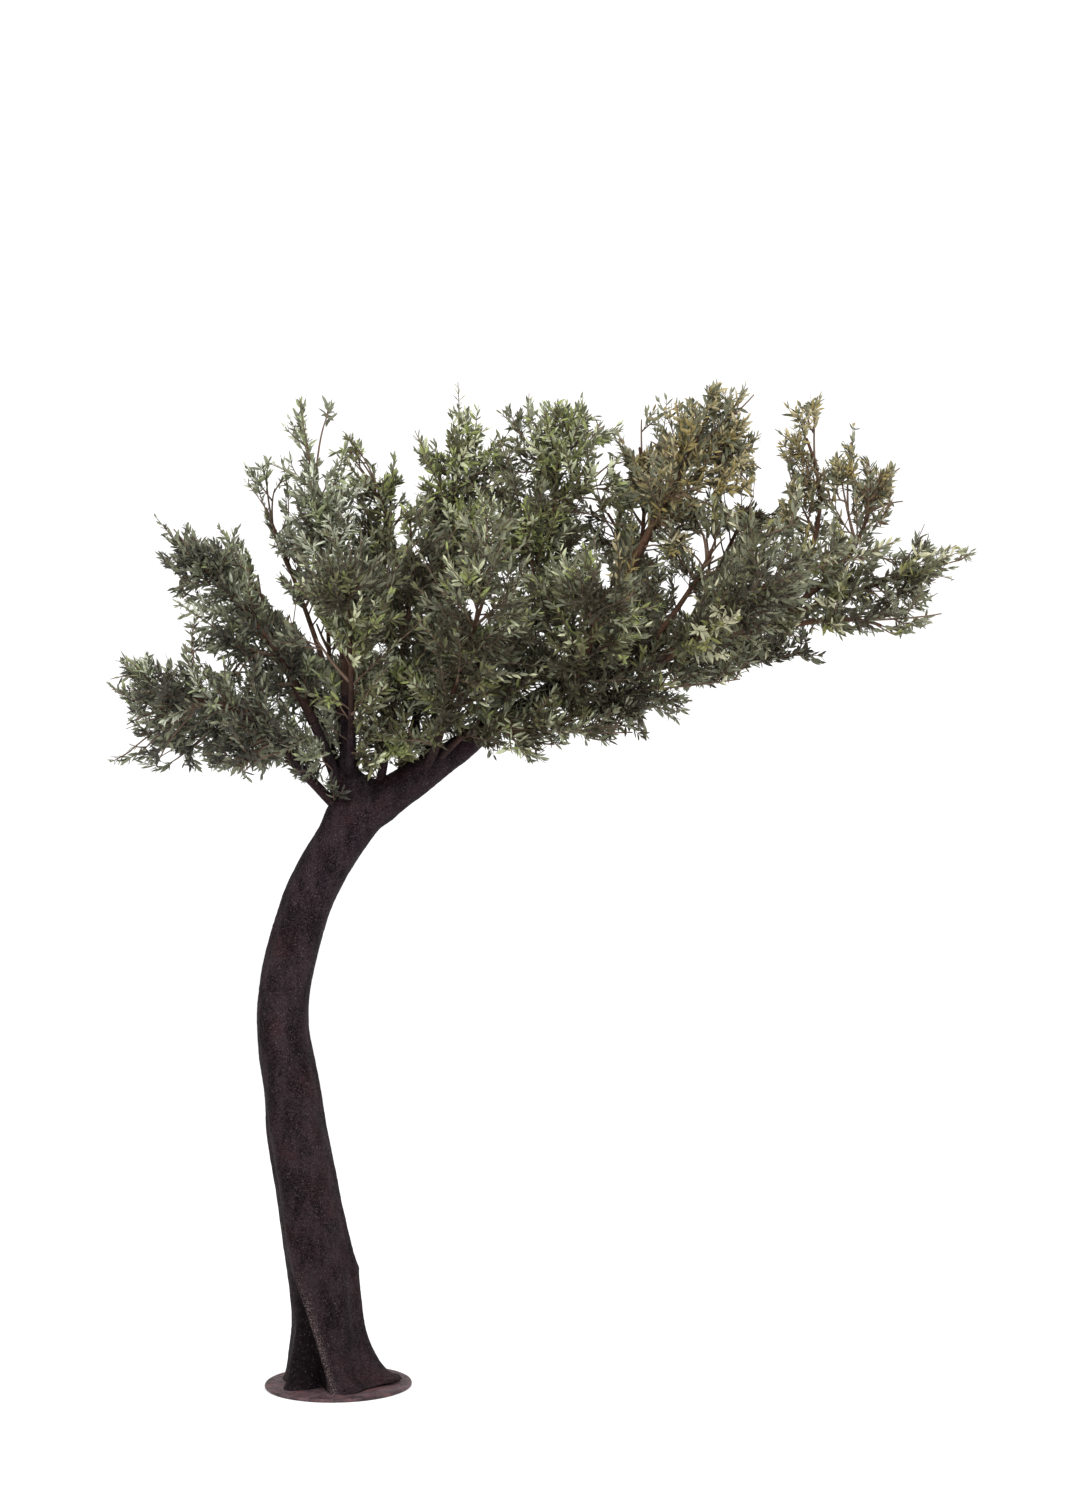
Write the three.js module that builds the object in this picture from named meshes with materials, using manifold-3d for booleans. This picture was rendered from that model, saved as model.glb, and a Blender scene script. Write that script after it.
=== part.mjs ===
// Artificial olive tree on a round base plate, in millimetres with +Z up.
// The origin is the centre of the plate's flat underside, and +X is the side that the crown leans to.
import * as THREE from 'three';
import { mergeVertices } from 'three/addons/utils/BufferGeometryUtils.js';
import Module from 'manifold-3d';

const wasm = await Module();
wasm.setup();

// Base plate: a steel disc with a small bevel, and the gap that touching pieces keep
const PLATE_RADIUS = 216;
const PLATE_THICKNESS = 10;
const PLATE_BEVEL = 2;
const PLATE_SEGMENTS = 48;
const CLEAR = 0.3;

// Trunk from below its flat foot to the fork: height, lean towards +X, radius
const TRUNK_STATIONS = [
  [-60, -8, 160],
  [75, -19, 131],
  [230, -38, 103],
  [520, -90, 95],
  [800, -134, 88],
  [1090, -173, 79],
  [1360, -118, 75],
  [1530, -48, 74],
  [1690, 62, 74],
];
const TRUNK_SIDES = 18;
const TRUNK_STEPS = 28;

// Buttress ribs of the trunk: how far they stand out at the foot and higher up,
// the height over which they fade, how many go round, and their turn in radians over that height
const RIB_FOOT = 0.11;
const RIB_TRUNK = 0.025;
const RIB_HEIGHT = 420;
const RIB_COUNT = 5;
const RIB_TURN = 0.7;
const RIB_PHASE = 0.35;

// One row for each bough and the mass of foliage that grows on from its end:
// name, limb it grows from, share along that limb, end of the bough, sag of its middle,
// foot radius, end radius, furthest tip of the foliage, half width of the foliage, seed
const LIMBS = [
  ['upright', 'trunk', 0.96, [15, 0, 2045], 0, 54, 18, [-130, -20, 2930], 180, 951],
  ['main', 'trunk', 0.99, [685, 0, 2090], -10, 70, 27, null, 0, 0],
  ['right_arm', 'main', 0.985, [1380, 0, 2295], 25, 27, 13, [1885, 0, 2475], 150, 203],
  ['left_low', 'trunk', 0.94, [-125, -60, 1830], 5, 19, 13, [-640, -150, 2100], 215, 1154],
  ['left_low_rear', 'trunk', 0.93, [-165, 90, 1850], 5, 15, 11, [-705, 260, 1915], 190, 155],
  ['left_high', 'upright', 0.15, [-85, -35, 1965], -5, 25, 15, [-510, -90, 2555], 215, 1056],
  ['left_high_rear', 'upright', 0.3, [-90, 100, 2000], 10, 15, 11, [-400, 240, 2605], 185, 157],
  ['upright_rear', 'upright', 0.75, [-65, 110, 2145], 12, 14, 9, [-320, 220, 2800], 175, 908],
  ['upright_right', 'upright', 0.8, [60, 80, 2140], 12, 14, 9, [160, 160, 2825], 175, 709],
  ['front_left', 'upright', 0.35, [40, -150, 1910], 20, 15, 10, [45, -430, 2470], 200, 510],
  ['rear_left', 'upright', 0.45, [-30, 170, 1980], 20, 15, 10, [-105, 490, 2525], 200, 211],
  ['centre', 'main', 0.08, [140, -45, 1900], 3, 17, 12, [255, -160, 2580], 180, 362],
  ['centre_high', 'main', 0.18, [230, 45, 2015], 5, 18, 12, [370, 60, 2960], 190, 913],
  ['front_centre', 'main', 0.3, [300, -135, 1915], 20, 18, 12, [485, -510, 2410], 215, 464],
  ['rear_centre', 'main', 0.28, [275, 140, 2000], 20, 18, 12, [300, 520, 2725], 220, 15],
  ['low_centre', 'main', 0.34, [345, -90, 1895], 0, 13, 9, [740, -190, 1865], 150, 1066],
  ['crown_centre', 'main', 0.55, [485, 30, 2060], 5, 20, 13, [675, 10, 2990], 235, 167],
  ['front_right', 'main', 0.76, [640, -130, 2030], 15, 16, 11, [795, -480, 2420], 205, 368],
  ['low_right', 'main', 0.8, [685, -50, 2025], 5, 13, 9, [1060, -100, 2020], 160, 1119],
  ['crown_right', 'main', 0.93, [910, -30, 2505], 25, 20, 13, [1160, -20, 2995], 215, 1070],
  ['crown_right_rear', 'crown_right', 0.3, [825, 110, 2315], 10, 12, 9, [930, 190, 2995], 165, 671],
  ['rear_right', 'right_arm', 0.12, [880, 190, 2200], 20, 15, 10, [790, 470, 2815], 200, 1122],
  ['right_rear', 'right_arm', 0.42, [1055, 150, 2280], 15, 14, 9, [1330, 350, 2810], 185, 823],
  ['right_middle', 'right_arm', 0.28, [975, -50, 2255], 8, 14, 9, [1190, -140, 2610], 185, 74],
  ['right_front', 'right_arm', 0.32, [1005, -170, 2160], 20, 15, 10, [1355, -440, 2415], 190, 75],
  ['right_low', 'right_arm', 0.22, [985, 80, 2140], 5, 12, 9, [1475, 160, 2165], 145, 276],
  ['spike', 'right_arm', 0.8, [1360, 35, 2390], 5, 11, 8, [1425, 50, 3000], 105, 277],
  ['right_high', 'right_arm', 0.86, [1435, 25, 2370], 5, 12, 9, [1680, 60, 2825], 185, 478],
  ['right_front_low', 'right_arm', 0.8, [1385, -90, 2250], 5, 11, 8, [1765, -180, 2225], 95, 479],
];
const BOUGH_SIDES = 6;
const BOUGH_STEP = 140;
const BOUGH_TAPER = 1.5;

// The space of a mass: the power of its round ends, its skin, and the room kept between spaces and to limbs
const SPACE_POWER = 3;
const SPACE_SKIN = 1.03;
const SPACE_MARGIN = 0.02;
const LIMB_MARGIN = 4;

// Its stem: it runs on the way its bough points, and ends a part of a spray short of the tip
const STEM_SIDES = 5;
const STEM_STEPS = 2;
const STEM_END = 4.5;
const STEM_SHORT = 0.8;
const STEM_RUN_ON = 0.4;
const STEM_FIRST = 0.03;

// Its twigs, which leave the stem round the golden angle, wide at the foot and narrow at the tip
const GOLDEN_ANGLE = Math.PI * (3 - Math.sqrt(5));
const TWIG_STEP = 130;
const TWIG_RADIUS = 6;
const TWIG_END = 4;
const TWIG_SIDES = 3;
const TWIG_STEPS = 1;
const TWIG_RISE = 0.3;
const TWIG_SHORTEST = 30;
const TWIG_SHORT = 0.7;
const TWIG_FIRST = 0.35;
const TWIG_SHARES = [0.05, 0.92];
const TWIG_ANGLES = [1.15, 0.5];
const TWIG_REACHES = [0.8, 1];
const TWIG_CHECKS = [0.6, 0.8, 1];
const REACH_STEP = 10;

// Sprays of leaves, at the end of each line and in opposite pairs along it,
// smaller where the full size would leave the space
const SPRAY_LENGTH = 215;
const SPRAY_WIDTH = 98;
const SPRAY_THICKNESS = 6;
const SPRAY_RANGE = [0.88, 1.12];
const SPRAY_SIZES = [1, 0.8, 0.62];
const SPRAY_WIDEST = 0.42;
const SPRAY_THICKEST = 0.25;
const SPRAY_ANGLE = 0.75;
const ANGLE_RANGE = [0.8, 1.2];
const SPRAY_LAST = 0.98;
const SPRAY_SPACE = 50;
const SPRAY_MIDDLES = [0.4, 0.7, 1];
const SPRAY_CHECKS = [0.12, 0.27, 0.42, 0.6, 0.8, 1];
const PAIR_STEP = 65;
const PAIR_LAST = 0.95;
const PAIR_TURN = 0.8;

// Finishes: the plate, the bark of the trunk and of the boughs, and foliage from the left to the right
const PLATE_COLOUR = '#51454a';
const TRUNK_COLOUR = '#33282c';
const BOUGH_COLOUR = '#4a3d39';
const FOLIAGE_COLOURS = [
  { upTo: 0, colour: '#5a5f53' },
  { upTo: 900, colour: '#5c5d47' },
  { upTo: Infinity, colour: '#716d51' },
];

const UP = new THREE.Vector3(0, 0, 1);
const ACROSS = new THREE.Vector3(0, 1, 0);
const mix = THREE.MathUtils.lerp;

// Steady draw between 0 and 1, from a seed and a count
function draw(seed, count) {
  const wave = Math.sin(seed * 12.9898 + count * 78.233) * 43758.5453;
  return wave - Math.floor(wave);
}

function piece(name, geometry, color, roughness, metalness) {
  const mesh = new THREE.Mesh(geometry, new THREE.MeshStandardMaterial({ color, roughness, metalness }));
  mesh.name = name;
  return mesh;
}

// A closed geometry with its vertices shared, ready to be bent and cut
function shared(geometry) {
  geometry.deleteAttribute('normal');
  geometry.deleteAttribute('uv');
  return mergeVertices(geometry, 1e-5);
}

// Moves each vertex of a shared geometry to where the rule puts it
function bend(geometry, rule) {
  const places = geometry.attributes.position;
  const vertex = new THREE.Vector3();
  for (let i = 0; i < places.count; i += 1) {
    vertex.fromBufferAttribute(places, i);
    const placed = rule(vertex);
    places.setXYZ(i, placed.x, placed.y, placed.z);
  }
  return geometry;
}

function solidOf(geometry) {
  const mesh = new wasm.Mesh({
    numProp: 3,
    vertProperties: new Float32Array(geometry.attributes.position.array),
    triVerts: new Uint32Array(geometry.index.array),
  });
  return new wasm.Manifold(mesh);
}

function geometryOf(solid) {
  const mesh = solid.getMesh();
  const geometry = new THREE.BufferGeometry();
  geometry.setAttribute('position', new THREE.BufferAttribute(mesh.vertProperties, 3));
  geometry.setIndex(new THREE.BufferAttribute(mesh.triVerts, 1));
  geometry.computeVertexNormals();
  return geometry;
}

// The largest closed body of a solid, so that no scrap is left beside it
function largest(solid) {
  const bodies = solid.decompose();
  return bodies.reduce((best, body) => (body.volume() > best.volume() ? body : best));
}

// Two directions square to a line's own, for a section round it
function squareTo(along) {
  const reference = Math.abs(along.dot(ACROSS)) > 0.9 ? UP : ACROSS;
  const first = reference.clone().cross(along).normalize();
  const second = first.clone().cross(along);
  return [first, second];
}

// The direction square to a line that lies at a turn round it
function outFrom(along, turn) {
  const [first, second] = squareTo(along);
  return first.multiplyScalar(Math.cos(turn)).addScaledVector(second, Math.sin(turn));
}

// The direction that leaves a line at an angle, towards the side given
function leaving(along, out, angle) {
  return along.clone().multiplyScalar(Math.cos(angle)).addScaledVector(out, Math.sin(angle));
}

// The point a way ahead of a root
function ahead(root, direction, distance) {
  return root.clone().addScaledVector(direction, distance);
}

// A round limb along a curve: the section at each share is radiusAt(share, angle) wide.
// A gap grows it on all sides and past both ends, for cutting its neighbours.
function tube(curve, radiusAt, sides, steps, gap = 0) {
  return bend(shared(new THREE.CylinderGeometry(1, 1, 1, sides, steps)), (vertex) => {
    const share = THREE.MathUtils.clamp(vertex.y + 0.5, 0, 1);
    const along = curve.getTangent(share);
    const [first, second] = squareTo(along);
    const radius = radiusAt(share, Math.atan2(vertex.z, vertex.x)) + gap;
    const place = curve.getPoint(share);
    if (share < 0.001) place.addScaledVector(along, -gap);
    if (share > 0.999) place.addScaledVector(along, gap);
    place.addScaledVector(first, vertex.x * radius);
    return place.addScaledVector(second, vertex.z * radius);
  });
}

function plate() {
  const profile = [
    new THREE.Vector2(0, 0),
    new THREE.Vector2(PLATE_RADIUS, 0),
    new THREE.Vector2(PLATE_RADIUS, PLATE_THICKNESS - PLATE_BEVEL),
    new THREE.Vector2(PLATE_RADIUS - PLATE_BEVEL, PLATE_THICKNESS),
    new THREE.Vector2(0, PLATE_THICKNESS),
  ];
  return new THREE.LatheGeometry(profile, PLATE_SEGMENTS).rotateX(Math.PI / 2);
}

// The trunk's spline carries its lean, radius and height together
const trunkSpline = new THREE.CatmullRomCurve3(
  TRUNK_STATIONS.map(([height, lean, radius]) => new THREE.Vector3(lean, radius, height)),
  false,
  'catmullrom',
  0.5,
);

class TrunkLine extends THREE.Curve {
  getPoint(share) {
    const station = trunkSpline.getPoint(share);
    return new THREE.Vector3(station.x, 0, station.z);
  }
}

const trunkLine = new TrunkLine();

// Radius of the trunk with its ribs, which fade with height and turn as they rise
function trunkRadius(share, angle) {
  const station = trunkSpline.getPoint(share);
  const foot = Math.exp(-Math.max(station.z, 0) / RIB_HEIGHT);
  const turn = RIB_PHASE + (RIB_TURN * station.z) / RIB_HEIGHT;
  const rib = Math.cos(RIB_COUNT * angle + turn) + 0.5 * Math.cos(2 * angle - turn);
  return station.y * (1 + (RIB_TRUNK + RIB_FOOT * foot) * rib);
}

// The trunk as a solid, cut flat where it stands on the plate
function trunkSolid(gap) {
  const whole = solidOf(tube(trunkLine, trunkRadius, TRUNK_SIDES, TRUNK_STEPS, gap));
  const ground = new THREE.BoxGeometry(4 * PLATE_RADIUS, 4 * PLATE_RADIUS, 4 * PLATE_RADIUS);
  ground.translate(0, 0, PLATE_THICKNESS + CLEAR - 2 * PLATE_RADIUS);
  return whole.subtract(solidOf(shared(ground)));
}

const vector = (place) => new THREE.Vector3(...place);

// Each limb's line, with its radius at a share and its capsule pieces for keeping clear of it
const lines = { trunk: { curve: trunkLine, radiusAt: trunkRadius } };
const limbs = LIMBS.map(([name, from, at, end, sag, footRadius, endRadius, top, spread, seed]) => {
  const start = lines[from].curve.getPoint(at);
  const finish = vector(end);
  const middle = start.clone().lerp(finish, 0.5).addScaledVector(UP, -sag);
  const curve = new THREE.QuadraticBezierCurve3(start, middle, finish);
  const radiusAt = (share) => endRadius + (footRadius - endRadius) * (1 - share) ** BOUGH_TAPER;
  lines[name] = { curve, radiusAt };
  return { name, curve, radiusAt, endRadius, top: top && vector(top), spread, seed };
});

function boughSolid(limb, gap) {
  const steps = Math.max(2, Math.round(limb.curve.getLength() / BOUGH_STEP));
  return solidOf(tube(limb.curve, limb.radiusAt, BOUGH_SIDES, steps, gap));
}

// Short straight pieces of a curve with their radius, which foliage keeps clear of
function capsules(curve, radiusAt, steps) {
  const pieces = [];
  for (let i = 0; i < steps; i += 1) {
    const share = i / steps;
    const next = (i + 1) / steps;
    pieces.push({
      line: new THREE.Line3(curve.getPoint(share), curve.getPoint(next)),
      radius: Math.max(radiusAt(share, 0), radiusAt(next, 0)),
    });
  }
  return pieces;
}

// The stem and the space of each mass: the stem runs on from its bough, and the space is an
// ellipsoid round the line from the bough's end to the mass's tip
const masses = limbs.filter((limb) => limb.top).map((limb) => {
  const direction = limb.curve.getTangent(1);
  const foot = ahead(limb.curve.getPoint(1), direction, CLEAR);
  const reach = limb.top.clone().sub(foot);
  const length = reach.length();
  const axis = reach.clone().normalize();
  const end = ahead(limb.top, axis, -STEM_SHORT * SPRAY_LENGTH);
  const turn = ahead(foot, direction, STEM_RUN_ON * length);
  const stem = new THREE.QuadraticBezierCurve3(foot, turn, end);
  const radiusAt = (share) => mix(limb.endRadius, STEM_END, share);
  return { ...limb, foot, length, axis, stem, radiusAt };
});

// How far a point lies out in a mass's space: 0 at the centre and 1 on the skin
function depthIn(mass, point) {
  const offset = point.clone().sub(mass.foot);
  const along = offset.dot(mass.axis);
  const across = Math.max(offset.lengthSq() - along * along, 0);
  return Math.abs((2 * along) / mass.length - 1) ** SPACE_POWER + across / mass.spread ** 2;
}

const limbCapsules = [...capsules(trunkLine, trunkRadius, 16)];
limbs.forEach((limb) => limbCapsules.push(...capsules(limb.curve, limb.radiusAt, 6)));
const stemCapsules = masses.map((mass) => capsules(mass.stem, mass.radiusAt, 5));

function clearOf(pieces, point, margin) {
  const nearest = new THREE.Vector3();
  return pieces.every(({ line, radius }) => {
    line.closestPointToPoint(point, true, nearest);
    return nearest.distanceTo(point) > radius + margin;
  });
}

// True where every point is in the mass's own space and touches no limb and no other stem
function fits(mass, index, points) {
  return points.every((point) => {
    const own = depthIn(mass, point);
    const inside = masses.every((other) => other === mass || depthIn(other, point) >= own + SPACE_MARGIN);
    return own < SPACE_SKIN
      && inside
      && clearOf(limbCapsules, point, LIMB_MARGIN)
      && stemCapsules.every((pieces, other) => other === index || clearOf(pieces, point, LIMB_MARGIN));
  });
}

// A spray of leaves as one thin blade: root, direction, the side it is wide to, length and width
function blade(root, direction, side, length, width) {
  const face = side.clone().cross(direction).normalize();
  return bend(shared(new THREE.OctahedronGeometry(1)), (vertex) => {
    const waist = Math.abs(vertex.z) > 0.5 ? SPRAY_THICKEST : SPRAY_WIDEST;
    const share = Math.abs(vertex.y) > 0.5 ? (vertex.y + 1) / 2 : waist;
    const place = ahead(root, direction, share * length);
    place.addScaledVector(side, (vertex.x * width) / 2);
    return place.addScaledVector(face, (vertex.z * SPRAY_THICKNESS) / 2);
  });
}

// Points on both edges of a blade that have to lie in its mass's space
function bladeEdges(root, direction, side, length, width) {
  return SPRAY_CHECKS.flatMap((share) => {
    const half = (width / 2) * Math.min(share / SPRAY_WIDEST, (1 - share) / (1 - SPRAY_WIDEST));
    const middle = ahead(root, direction, share * length);
    return [ahead(middle, side, -half), ahead(middle, side, half)];
  });
}

// How far a line can run from its root before it leaves the mass's space
function reachIn(mass, root, direction) {
  let reach = 0;
  while (reach < mass.length && depthIn(mass, ahead(root, direction, reach)) < 1) {
    reach += REACH_STEP;
  }
  return reach;
}

// The twigs of a mass, round the golden angle: each rises a little and ends a spray short of the skin
function twigLines(mass, index, next) {
  const twigs = [];
  const count = Math.round(mass.stem.getLength() / TWIG_STEP);
  for (let i = 0; i < count; i += 1) {
    const share = mix(...TWIG_SHARES, (i + 0.5) / count);
    const root = mass.stem.getPoint(share);
    const along = mass.stem.getTangent(share);
    const angle = mix(...TWIG_ANGLES, share);
    const direction = leaving(along, outFrom(along, mass.seed + i * GOLDEN_ANGLE), angle);
    const room = reachIn(mass, root, direction) * mix(...TWIG_REACHES, next());
    const length = Math.max(TWIG_SHORTEST, room - TWIG_SHORT * SPRAY_LENGTH);
    const end = ahead(root, direction, length).addScaledVector(UP, TWIG_RISE * length * Math.sin(angle));
    const curve = new THREE.QuadraticBezierCurve3(root, ahead(root, direction, 0.5 * length), end);
    const radiusAt = (part) => mix(TWIG_RADIUS, TWIG_END, part);
    if (fits(mass, index, TWIG_CHECKS.map((part) => curve.getPoint(part)))) {
      twigs.push({ curve, radiusAt, pieces: capsules(curve, radiusAt, TWIG_STEPS), first: TWIG_FIRST });
    }
  }
  return twigs;
}

// One mass: its stem and twigs, with a spray at each end and opposite pairs along each line
function massSolid(mass, index) {
  let draws = 0;
  const next = () => {
    draws += 1;
    return draw(mass.seed, draws);
  };
  const stem = { curve: mass.stem, radiusAt: mass.radiusAt, pieces: stemCapsules[index], first: STEM_FIRST };
  const twigs = twigLines(mass, index, next);
  const solids = [solidOf(tube(stem.curve, stem.radiusAt, STEM_SIDES, STEM_STEPS))];
  twigs.forEach(({ curve, radiusAt }) => solids.push(solidOf(tube(curve, radiusAt, TWIG_SIDES, TWIG_STEPS))));
  const middles = [];

  // A spray rolled about its own line, clear of the mass's other lines and sprays
  const addSpray = (line, share, direction) => {
    const root = line.curve.getPoint(share);
    const side = outFrom(direction, Math.PI * next());
    const length = SPRAY_LENGTH * mix(...SPRAY_RANGE, next());
    const width = SPRAY_WIDTH * mix(...SPRAY_RANGE, next());
    const others = [stem, ...twigs].filter((other) => other !== line);
    const middlesAt = (size) => SPRAY_MIDDLES.map((part) => ahead(root, direction, part * size * length));
    const size = SPRAY_SIZES.find((part) => {
      const edges = bladeEdges(root, direction, side, part * length, part * width);
      return middlesAt(part).every((own) => middles.every((other) => other.distanceTo(own) > SPRAY_SPACE))
        && edges.every((point) => others.every(({ pieces }) => clearOf(pieces, point, 0)))
        && fits(mass, index, edges);
    });
    if (size) {
      middles.push(...middlesAt(size));
      solids.push(solidOf(blade(root, direction, side, size * length, size * width)));
    }
  };

  [stem, ...twigs].forEach((line) => {
    addSpray(line, SPRAY_LAST, line.curve.getTangent(1));
    const pairs = Math.max(1, Math.round((line.curve.getLength() * (1 - line.first)) / PAIR_STEP));
    for (let i = 0; i < pairs; i += 1) {
      const share = mix(line.first, PAIR_LAST, (i + 0.5) / pairs);
      const along = line.curve.getTangent(share);
      const out = outFrom(along, (i % 2) * 0.5 * Math.PI + PAIR_TURN * next());
      for (const way of [-1, 1]) {
        addSpray(line, share, leaving(along, out, way * SPRAY_ANGLE * mix(...ANGLE_RANGE, next())));
      }
    }
  });
  return largest(wasm.Manifold.union(solids));
}

// Foliage colour by where the mass's tip is: greyer on the left and yellower on the right
function foliageColour(mass) {
  return FOLIAGE_COLOURS.find(({ upTo }) => mass.top.x < upTo).colour;
}

const plant = new THREE.Group();
plant.add(piece('base_plate', plate(), PLATE_COLOUR, 0.5, 0.4));
plant.add(piece('trunk', geometryOf(trunkSolid(0)), TRUNK_COLOUR, 0.75, 0));

// Each bough is cut by the trunk and by the boughs made before it, with the gap between them
const cutters = [trunkSolid(CLEAR)];
limbs.forEach((limb) => {
  const solid = largest(boughSolid(limb, 0).subtract(wasm.Manifold.union(cutters)));
  cutters.push(boughSolid(limb, CLEAR));
  plant.add(piece(`bough_${limb.name}`, geometryOf(solid), BOUGH_COLOUR, 0.8, 0));
});

masses.forEach((mass, index) => {
  plant.add(piece(`foliage_${mass.name}`, geometryOf(massSolid(mass, index)), foliageColour(mass), 0.6, 0));
});

export default plant;
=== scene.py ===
import math
from functools import lru_cache
from itertools import product

import bpy
import numpy as np
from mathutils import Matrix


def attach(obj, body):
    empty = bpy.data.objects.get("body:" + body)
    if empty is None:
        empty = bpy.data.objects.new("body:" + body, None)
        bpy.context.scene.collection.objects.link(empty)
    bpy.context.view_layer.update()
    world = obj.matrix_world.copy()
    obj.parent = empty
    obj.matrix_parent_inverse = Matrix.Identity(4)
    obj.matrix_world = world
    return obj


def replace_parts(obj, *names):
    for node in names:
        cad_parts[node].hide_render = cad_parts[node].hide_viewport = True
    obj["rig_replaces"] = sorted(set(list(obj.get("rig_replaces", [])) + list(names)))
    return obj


bl_info = {
    "name": "Artificial olive tree",
    "version": (1, 0, 0),
    "blender": (4, 5, 0),
    "location": "3D View > Sidebar > Olive tree",
    "description": "Bark, base plate, twigs and leaves of an artificial olive tree, with a plain studio",
    "category": "Add Mesh",
}

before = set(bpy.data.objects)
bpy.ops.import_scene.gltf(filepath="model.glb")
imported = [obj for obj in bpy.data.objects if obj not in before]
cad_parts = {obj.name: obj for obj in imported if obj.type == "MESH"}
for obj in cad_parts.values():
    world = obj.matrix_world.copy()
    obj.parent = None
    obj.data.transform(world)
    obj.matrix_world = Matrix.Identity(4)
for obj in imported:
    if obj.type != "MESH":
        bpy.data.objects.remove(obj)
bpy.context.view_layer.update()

# Sizes of the plant as the part's source has them, in millimetres
MM = 0.001
PLATE_RADIUS = 216.0
PLATE_THICKNESS = 10.0
CLEAR = 0.3

# Trunk from below its foot to the fork: height, lean towards +X, radius
TRUNK_STATIONS = np.array([
    (-60, -8, 160), (75, -19, 131), (230, -38, 103), (520, -90, 95), (800, -134, 88),
    (1090, -173, 79), (1360, -118, 75), (1530, -48, 74), (1690, 62, 74),
], float)
RIB_FOOT, RIB_TRUNK, RIB_HEIGHT, RIB_COUNT, RIB_TURN, RIB_PHASE = 0.11, 0.025, 420.0, 5, 0.7, 0.35

# One row for each bough and the mass of foliage that grows on from its end:
# name, limb it grows from, share along that limb, end of the bough, sag of its middle,
# foot radius, end radius, furthest tip of the foliage, half width of the foliage, seed
LIMBS = [
    ("upright", "trunk", 0.96, (15, 0, 2045), 0, 54, 18, (-130, -20, 2930), 180, 951),
    ("main", "trunk", 0.99, (685, 0, 2090), -10, 70, 27, None, 0, 0),
    ("right_arm", "main", 0.985, (1380, 0, 2295), 25, 27, 13, (1885, 0, 2475), 150, 203),
    ("left_low", "trunk", 0.94, (-125, -60, 1830), 5, 19, 13, (-640, -150, 2100), 215, 1154),
    ("left_low_rear", "trunk", 0.93, (-165, 90, 1850), 5, 15, 11, (-705, 260, 1915), 190, 155),
    ("left_high", "upright", 0.15, (-85, -35, 1965), -5, 25, 15, (-510, -90, 2555), 215, 1056),
    ("left_high_rear", "upright", 0.3, (-90, 100, 2000), 10, 15, 11, (-400, 240, 2605), 185, 157),
    ("upright_rear", "upright", 0.75, (-65, 110, 2145), 12, 14, 9, (-320, 220, 2800), 175, 908),
    ("upright_right", "upright", 0.8, (60, 80, 2140), 12, 14, 9, (160, 160, 2825), 175, 709),
    ("front_left", "upright", 0.35, (40, -150, 1910), 20, 15, 10, (45, -430, 2470), 200, 510),
    ("rear_left", "upright", 0.45, (-30, 170, 1980), 20, 15, 10, (-105, 490, 2525), 200, 211),
    ("centre", "main", 0.08, (140, -45, 1900), 3, 17, 12, (255, -160, 2580), 180, 362),
    ("centre_high", "main", 0.18, (230, 45, 2015), 5, 18, 12, (370, 60, 2960), 190, 913),
    ("front_centre", "main", 0.3, (300, -135, 1915), 20, 18, 12, (485, -510, 2410), 215, 464),
    ("rear_centre", "main", 0.28, (275, 140, 2000), 20, 18, 12, (300, 520, 2725), 220, 15),
    ("low_centre", "main", 0.34, (345, -90, 1895), 0, 13, 9, (740, -190, 1865), 150, 1066),
    ("crown_centre", "main", 0.55, (485, 30, 2060), 5, 20, 13, (675, 10, 2990), 235, 167),
    ("front_right", "main", 0.76, (640, -130, 2030), 15, 16, 11, (795, -480, 2420), 205, 368),
    ("low_right", "main", 0.8, (685, -50, 2025), 5, 13, 9, (1060, -100, 2020), 160, 1119),
    ("crown_right", "main", 0.93, (910, -30, 2505), 25, 20, 13, (1160, -20, 2995), 215, 1070),
    ("crown_right_rear", "crown_right", 0.3, (825, 110, 2315), 10, 12, 9, (930, 190, 2995), 165, 671),
    ("rear_right", "right_arm", 0.12, (880, 190, 2200), 20, 15, 10, (790, 470, 2815), 200, 1122),
    ("right_rear", "right_arm", 0.42, (1055, 150, 2280), 15, 14, 9, (1330, 350, 2810), 185, 823),
    ("right_middle", "right_arm", 0.28, (975, -50, 2255), 8, 14, 9, (1190, -140, 2610), 185, 74),
    ("right_front", "right_arm", 0.32, (1005, -170, 2160), 20, 15, 10, (1355, -440, 2415), 190, 75),
    ("right_low", "right_arm", 0.22, (985, 80, 2140), 5, 12, 9, (1475, 160, 2165), 145, 276),
    ("spike", "right_arm", 0.8, (1360, 35, 2390), 5, 11, 8, (1425, 50, 3000), 105, 277),
    ("right_high", "right_arm", 0.86, (1435, 25, 2370), 5, 12, 9, (1680, 60, 2825), 185, 478),
    ("right_front_low", "right_arm", 0.8, (1385, -90, 2250), 5, 11, 8, (1765, -180, 2225), 95, 479),
]
BOUGH_TAPER = 1.5
SPACE_POWER, SPACE_SKIN, SPACE_MARGIN, LIMB_MARGIN = 3, 1.03, 0.02, 4
STEM_END, STEM_SHORT, STEM_RUN_ON, STEM_FIRST = 4.5, 0.8, 0.4, 0.03
GOLDEN_ANGLE = math.pi * (3 - math.sqrt(5))
TWIG_STEP, TWIG_RADIUS, TWIG_END = 130, 6, 4
TWIG_RISE, TWIG_SHORTEST, TWIG_SHORT, TWIG_FIRST = 0.3, 30, 0.7, 0.35
TWIG_SHARES, TWIG_ANGLES, TWIG_REACHES = (0.05, 0.92), (1.15, 0.5), (0.8, 1)
TWIG_CHECKS = (0.6, 0.8, 1)
REACH_STEP = 10
SPRAY_LENGTH, SPRAY_WIDTH, SPRAY_RANGE, SPRAY_SIZES = 215, 98, (0.88, 1.12), (1, 0.8, 0.62)
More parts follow.
